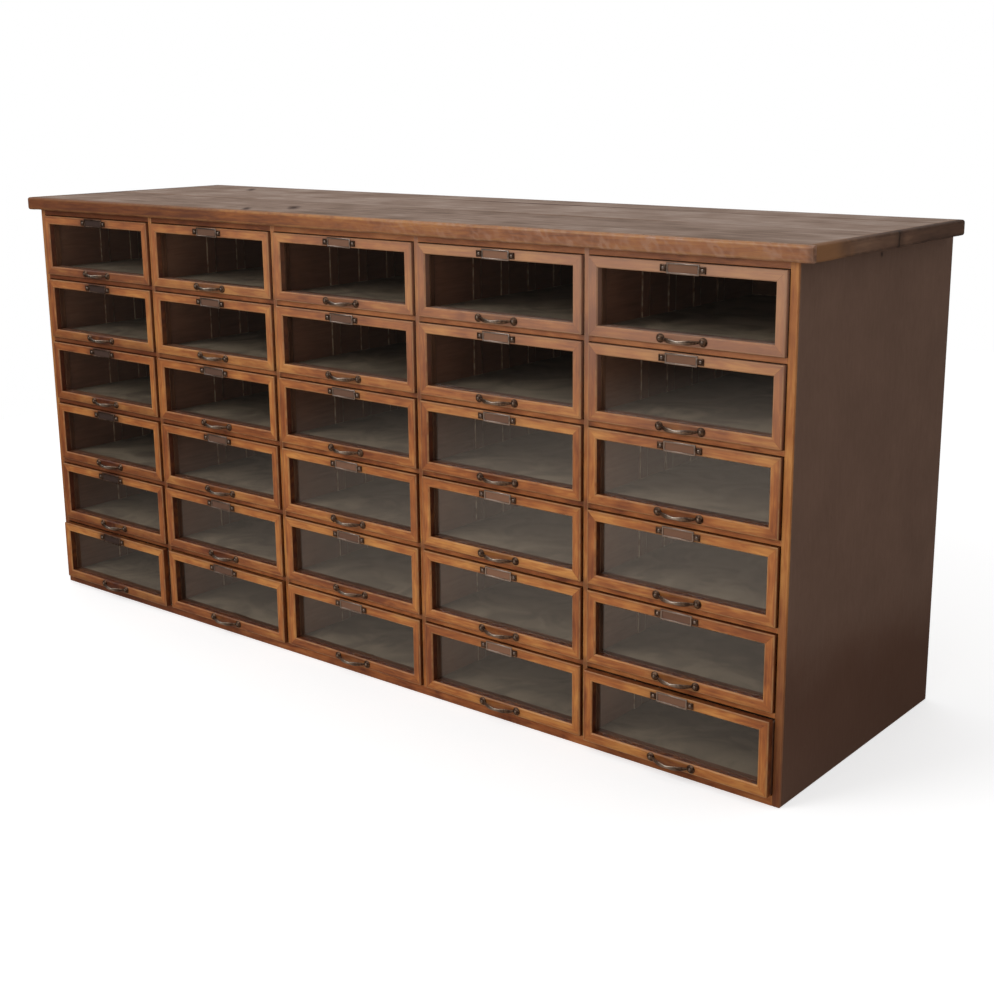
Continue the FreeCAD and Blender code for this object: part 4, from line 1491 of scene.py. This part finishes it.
@dataclass
class Drawer:
    """One drawer: mitred front, pane, beads, box, dividers' battens, pull and card holder.

    All sizes are from the drawer's middle, the face frame and the opening's floor.

    Attributes:
        finishes: The shared materials.
        row: Row from the top.
        column: Column from the left.
        middle: X of its middle.
        face_frame: Y of the face frame, less how far the drawer stands ajar.
        floor: Z of its opening's floor.
        handled: How much it was handled, from 0 to 1, which also sets the painted shade on row 1's top
            member, the painted glint on the pull and the painted highlight on the holder's rim.
        front_half: Half of the front's width.
        front_low: Z of its lower edge.
        front_high: Z of its upper edge.
        front_face: Y of its face.
        frame_width: Width of a member.
        frame_back: Y of its back.
        frame_arris: Radius of its outer arris.
        frame_bevel: Width of the bevel round the pane.
        mitre_gap: Half of the gap at a mitre.
        glass_back: Y of the pane's back.
        pane_half: Half of its width.
        pane_high: Z of its top.
        bead_back: Y of the beads' back.
        bead_high: Z of their top.
        box_half: Half of the box's width.
        box_inner: Half of its width inside.
        box_back: Y of the front of its back board.
        box_end: Y of the rear of its back board.
        box_low: Z of its lower edge.
        box_bottom: Z of the underside of its bottom.
        box_floor: Z of the upper side of its bottom.
        box_top: Z of its upper edge.
        bearer_width: Width of the bearers under the bottom.
        battens: Number of battens on a side.
        batten_start: Y of the first.
        batten_pitch: Distance from one to the next.
        batten_width: Width of a batten.
        batten_thickness: Thickness of a batten.
        batten_height: Height of a batten.
        pull: The pull.
        holder: The card holder.
    """

    finishes: Finishes
    row: int
    column: int
    middle: float
    face_frame: float
    floor: float
    handled: float
    front_half: float = 180.8
    front_low: float = 0.8
    front_high: float = 131.4
    front_face: float = -6.0
    frame_width: float = 18.0
    frame_back: float = 7.0
    frame_arris: float = 1.2
    frame_bevel: float = 2.0
    mitre_gap: float = 0.12
    glass_back: float = 10.0
    pane_half: float = 168.5
    pane_high: float = 118.4
    bead_back: float = 23.0
    bead_high: float = 118.9
    box_half: float = 179.5
    box_inner: float = 169.5
    box_back: float = 508.5
    box_end: float = 518.5
    box_low: float = 0.3
    box_bottom: float = 10.3
    box_floor: float = 15.3
    box_top: float = 126.3
    bearer_width: float = 8.0
    battens: int = 4
    batten_start: float = 133.0
    batten_pitch: float = 82.0
    batten_width: float = 24.0
    batten_thickness: float = 3.0
    batten_height: float = 95.0
    pull: BowPull = field(default_factory=BowPull)
    holder: CardHolder = field(default_factory=CardHolder)

    def __post_init__(self) -> None:
        """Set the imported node's name, and the seed that sets the drawer's figure and tones apart."""
        self.node = f"drawer_row{self.row}_col{self.column}"
        self.seed = 1000 + 40 * (self.row * COLUMNS + self.column)

    def put(self, part: str, surfaces: Sequence[Surface], material: Material,
            sharp: float = 50.0) -> None:
        """Build one piece of the drawer in its place.

        Args:
            part: What the piece is called in the drawer.
            surfaces: Its surfaces, from the drawer's middle, the face frame and the opening's floor.
            material: Its finish.
            sharp: Angle in degrees past which an edge stays sharp.
        """
        moved = [surface.shifted(self.middle, self.face_frame, self.floor) for surface in surfaces]
        build_piece(f"{self.node}_{part}", moved, material, self.node, self.node, sharp)

    def member(self, length: float, seed: int, tone: float) -> tuple[Array, Array, Array]:
        """Mitred member along its own x, from its outer edge at width 0 to its inner edge.

        Each line of the section runs from x = w to x = length - w, where w is its distance from the outer
        edge, which cuts both ends at 45 degrees.

        Args:
            length: Length along the outer edge.
            seed: Chooses the place of the figure.
            tone: Tone of the member.

        Returns:
            Rings of (x, y, w), their grain coordinates and their facts.
        """
        wide, front, back = self.frame_width, self.front_face, self.frame_back
        cut, bevel = self.frame_arris, self.frame_bevel
        # Width, y, nearness to an arris and grime of each line. Here the grime is painted shade: full on the
        # outer side faces and in the reveal round the pane, and fading over the outer arris onto the face.
        w, y, near, grime = np.array([
            (0, back, 0, 0.95), (0, front + cut + 1.5, 0, 0.9), (0, front + cut, 0.8, 0.5),
            (cut, front, 1, 0.35), (cut + 1.6, front, 0, 0.3), (6.0, front, 0, 0), (10.0, front, 0, 0),
            (wide - bevel - 1.8, front, 0, 0), (wide - bevel, front, 0.7, 0), (wide, front + bevel, 0.7, 0.2),
            (wide, front + bevel + 0.8, 0, 1), (wide, back, 0, 1)]).T
        shares = np.linspace(0, 1, int(length / 9) + 2)[:, None]
        x = w + self.mitre_gap + (length - 2 * (w + self.mitre_gap)) * shares
        rings = np.stack(np.broadcast_arrays(x, y, w), axis=-1)
        grain = rings[..., [0, 2, 1]] * MM + np.random.default_rng(seed).uniform(-4, 4, 3)
        return rings, grain, facts_of(rings, near, grime, tone)

    def front(self) -> list[Surface]:
        """Bottom, top, left and right members, each turned into its place.

        Returns:
            The four surfaces.
        """
        half, low, high = self.front_half, self.front_low, self.front_high
        tones = np.random.default_rng(self.seed).uniform(-1, 1, 4)
        # Painted shade under the top's overhang, together with grime, darkens row 1's top members, more on
        # drawers handled more.
        top_row_shade_and_grime = 1.8 * self.handled if self.row == 1 else 0.0
        # Length, shade, and the place of a point at x along the member and w across it.
        members = {
            "bottom": (2 * half, 0.0, lambda x, w: (x - half, low + w)),
            "top": (2 * half, 0.3 - top_row_shade_and_grime, lambda x, w: (half - x, high - w)),
            "left": (high - low, -0.85, lambda x, w: (w - half, high - x)),
            "right": (high - low, -0.45, lambda x, w: (half - w, low + x)),
        }
        pull_grime = hand_grime([(-4, self.pull.height)], (52.0, 40.0), 0.5 + 0.5 * self.handled)
        card_grime = hand_grime([(0, self.holder.middle)], (52.0, 40.0), 0.4 + 0.6 * self.handled)
        made = []
        for number, (name, (length, shade, turn)) in enumerate(members.items()):
            rings, grain, facts = self.member(length, self.seed + number, float(tones[number]) + shade)
            width = rings[..., 2].copy()
            rings[..., 0], rings[..., 2] = turn(rings[..., 0], width)
            if name == "top":
                facts[..., 1] = np.maximum(facts[..., 1], card_grime(rings))
            if name == "bottom":
                sunk = self.handled * (0.68 - 0.02 * width)
                facts[..., 1] = np.max([facts[..., 1], sunk, pull_grime(rings)], axis=0)
            made.append(loft(rings, grain, facts))
        return made

    def boards(self, sizes: Iterable[tuple], arris: float, hold: float, seed: int) -> list[Surface]:
        """Plain boards, each with its own seed.

        Args:
            sizes: Low corner, high corner and axis of each.
            arris: Radius of the arrises.
            hold: Distance inside an arris where its wear ends.
            seed: Seed of the first.

        Returns:
            The surfaces.
        """
        return [board(low, high, axis, arris, hold, steps=1, seed=seed + number)
                for number, (low, high, axis) in enumerate(sizes)]

    def glazing(self) -> list[Surface]:
        """Four beads behind the pane: two uprights, and two level ones between them.

        Returns:
            The surfaces.
        """
        near, far, top = self.glass_back, self.bead_back, self.bead_high
        inner, edge = self.box_inner, self.front_half - self.frame_width
        low, sill = self.box_floor, self.front_low + self.frame_width
        head = self.front_high - self.frame_width
        upright = [((-inner, near, low), (-edge, far, top), 2), ((edge, near, low), (inner, far, top), 2)]
        level = [((-edge, near, low), (edge, far, sill), 0), ((-edge, near, head), (edge, far, top), 0)]
        return self.boards(upright, 0.5, 1.5, self.seed + 5) + self.boards(level, 0.4, 1.2, self.seed + 7)

    def box(self) -> list[Surface]:
        """Sides, back, bearers and the battens that hold loose dividers.

        Returns:
            The surfaces.
        """
        near, far, inner, outer = self.frame_back, self.box_end, self.box_inner, self.box_half
        low, floor, top, bearer = self.box_low, self.box_floor, self.box_top, self.bearer_width
        walls = [((-outer, near, low), (-inner, far, top), 1), ((inner, near, low), (outer, far, top), 1),
                 ((-inner, self.box_back, floor), (inner, far, top), 0)]
        bearers = [((-inner, near, low), (bearer - inner, far, self.box_bottom), 1),
                   ((inner - bearer, near, low), (inner, far, self.box_bottom), 1)]
        seed = self.seed + 10
        made = self.boards(walls, 0.8, 3.0, seed) + self.boards(bearers, 0.6, 2.0, seed + 3)
        for number in range(self.battens):
            start = self.batten_start + number * self.batten_pitch
            end = start + self.batten_width
            for side in (-1, 1):
                x = sorted((side * inner, side * (inner - self.batten_thickness)))
                batten = ((x[0], start, floor), (x[1], end, floor + self.batten_height), 2)
                made += self.boards([batten], 0.7, 3.2, seed + 5 + number)
        return made

    def build(self) -> None:
        """Build every piece of the drawer."""
        done, face, inner = self.finishes, self.front_face, self.box_inner
        bottom = ((-inner, self.frame_back, self.box_bottom), (inner, self.box_end, self.box_floor), 1)
        pane = board((-self.pane_half, self.frame_back, self.box_floor + 0.5),
                     (self.pane_half, self.glass_back, self.pane_high), 0, 0.25, 0.6, steps=1)
        self.put("front", self.front(), done.frame_oak, 25.0)
        self.put("pane", [pane], done.glass, 25.0)
        self.put("beads", self.glazing(), done.bead)
        self.put("box", self.box(), done.deal)
        self.put("bottom", self.boards([bottom], 0.3, 1.0, self.seed + 30), done.floor_board)
        self.put("pull", self.pull.surfaces(face, self.handled), done.bronze, 60.0)
        self.put("card_holder", self.holder.metal(face, self.handled), done.pressed_bronze,
                 45.0)
        self.put("card", [self.holder.paper(face, self.seed, self.handled)], done.card)


# ---- studio -----------------------------------------------------------------------------------------

@dataclass
class Studio:
    """Pale floor, plain soft light and the camera. Places and sizes are in metres.

    Attributes:
        eye: Place of the camera.
        yaw: Turn of the view from +Y towards +X, in degrees.
        pitch: Rise of the view in degrees.
        roll: Turn about the line of sight in degrees.
        lens: Focal length in millimetres for a sensor 36 mm wide.
        shift: Sideways and upward shift of the picture.
        floor: Middle of the floor, just under the cabinet.
        floor_radius: Radius of the floor.
        around: Number of points round the floor and the cloth.
        pool: Middle of the light on the dark cloth.
        cloth: Radius and height of the cloth's rings from the pool outwards.
        pool_reach: Distances from the pool's middle where its light starts to fall and where it ends.
        pool_light: Strength of the light outside the pool and in its middle.
        lamp: Place of the lamp.
        lamp_size: Side of the lamp's square.
        lamp_power: Its power in watts.
        target: Place that it is aimed at.
    """

    eye: tuple[float, float, float] = (1.9889, -2.2494, 1.1139)
    yaw: float = -38.916
    pitch: float = -13.268
    roll: float = -0.44
    lens: float = 53.856
    shift: tuple[float, float] = (-0.0134, -0.0512)
    floor: tuple[float, float, float] = (0.7, 0.9, -0.0004)
    floor_radius: float = 3.4
    around: int = 96
    pool: tuple[float, float, float] = (0.25, -1.85, 0.0)
    cloth: tuple[tuple[float, float], ...] = (
        (0.02, 0.0015), (3.2, 0.0015), (5.4, 0.05), (6.0, 0.4), (6.2, 3.5))
    pool_reach: tuple[float, float] = (0.3, 2.5)
    pool_light: tuple[float, float] = (0.05, 1.0)
    lamp: tuple[float, float, float] = (-1.6, -3.6, 3.0)
    lamp_size: float = 2.4
    lamp_power: float = 70.0
    target: tuple[float, float, float] = (0.0, 0.0, 0.45)

    def camera(self) -> None:
        """Set the camera up: right, up and back axes from yaw, pitch and roll."""
        yaw, pitch, roll = (math.radians(angle) for angle in (self.yaw, self.pitch, self.roll))
        ahead = Vector((math.sin(yaw) * math.cos(pitch), math.cos(yaw) * math.cos(pitch), math.sin(pitch)))
        right = Vector((math.cos(yaw), -math.sin(yaw), 0.0))
        up = right.cross(ahead)
        side = right * math.cos(roll) + up * math.sin(roll)
        above = up * math.cos(roll) - right * math.sin(roll)
        data = bpy.data.cameras.new("Camera")
        data.lens, data.sensor_width = self.lens, 36.0
        data.shift_x, data.shift_y = self.shift
        camera = placed("Camera", data)
        axes = Matrix((side, above, -ahead)).transposed()
        camera.matrix_world = Matrix.Translation(Vector(self.eye)) @ axes.to_4x4()
        bpy.context.scene.camera = camera

    def ground(self) -> None:
        """Round pale floor that keeps the cabinet's shadow and is otherwise as white as the backdrop."""
        rim = rings_round(np.array([self.floor_radius]), np.zeros(1), self.around)[0] + self.floor
        meshed("Floor", rim, [range(len(rim))], made_of_nodes("Floor, pale", self.paint))

    def paint(self, add: Adder) -> Socket:
        """Pale matte paint, with a glow that makes up for what it doesn't get from the soft light."""
        glow = add("Emission", "#ffffff", self.seen(add, 0.52))
        return add("AddShader", add("BsdfDiffuse", "#e8e8e8"), glow)

    def seen(self, add: Adder, strength: float) -> Socket:
        """Strength on rays from the camera, from gloss and through glass, and 0 on all others.

        Args:
            add: Adds a node.
            strength: The strength.

        Returns:
            The strength of each ray.
        """
        path = add("LightPath").node.outputs
        mirrored = add("Math MAXIMUM", path["Is Glossy Ray"], path["Is Transmission Ray"])
        return add("Math MULTIPLY", add("Math MAXIMUM", path["Is Camera Ray"], mirrored), strength)

    def drape(self) -> None:
        """Dark cloth with one pool of light, which only gloss and glass see, as among a studio's dark walls.

        It is a shallow bowl round the pool, point = middle + (r cos a, r sin a, h), with a low wall.
        """
        radius, height = np.array(self.cloth).T
        made = loft(rings_round(radius, height, self.around) + self.pool)
        cloth = made_of_nodes("Black wool cloth, lit in one place", self.pool_of_light)
        drape = meshed("Drape", made.points, made.faces[:-2], cloth)
        drape.visible_camera = drape.visible_diffuse = drape.visible_shadow = False

    def pool_of_light(self, add: Adder) -> Socket:
        """Warm glow that falls off smoothly with the distance from the pool's middle.

        Args:
            add: Adds a node.

        Returns:
            The shader.
        """
        away = add("VectorMath LENGTH", add("VectorMath SUBTRACT", add("TexCoord"), self.pool), out="Value")
        near, far = self.pool_reach
        return add("Emission", "#ffeddc", add("MapRange SMOOTHSTEP", away, far, near, *self.pool_light))

    def air(self) -> None:
        """Even light from all round, and white where the camera, gloss or glass looks past the floor."""
        world = bpy.data.worlds.new("Air")
        world.use_nodes = True
        world.node_tree.nodes.clear()
        add = partial(add_node, world.node_tree)
        soft, white = (add("Background", "#ffffff", strength) for strength in (0.62, 1.0))
        add("OutputWorld", add("MixShader", self.seen(add, 1.0), soft, white))
        bpy.context.scene.world = world

    def key(self) -> None:
        """Square soft lamp aimed at the cabinet's middle."""
        data = bpy.data.lights.new("Key", "AREA")
        data.size, data.energy = self.lamp_size, self.lamp_power
        lamp = placed("Key", data)
        lamp.location = self.lamp
        lamp.rotation_euler = (Vector(self.target) - Vector(self.lamp)).to_track_quat("-Z", "Y").to_euler()

    def build(self) -> None:
        """Set the studio up."""
        for step in (self.camera, self.ground, self.drape, self.air, self.key):
            step()
        bpy.context.scene.view_settings.view_transform = "Standard"


def main() -> None:
    """Build the carcass, the drawers and the studio, in that order."""
    logging.basicConfig(level=logging.INFO, format="%(message)s")
    finishes = Finishes()
    carcass = Carcass(finishes)
    carcass.build()
    ajar = {(6, 1): 8.0, (6, 2): 3.0, (6, 5): 9.0}
    # How much each column was handled: it sets the grime, and also scales the painted glint, highlight and
    # shade.
    handled_by_column = (1.0, 0.55, 0.25, 0.05, 0.25)
    for row in range(1, ROWS + 1):
        for column, handled in enumerate(handled_by_column, 1):
            Drawer(finishes, row, column, carcass.column_middle(column),
                   carcass.front - ajar.get((row, column), 0.0), carcass.opening_floor(row), handled).build()
    Studio().build()


if __name__ == "__main__":
    main()
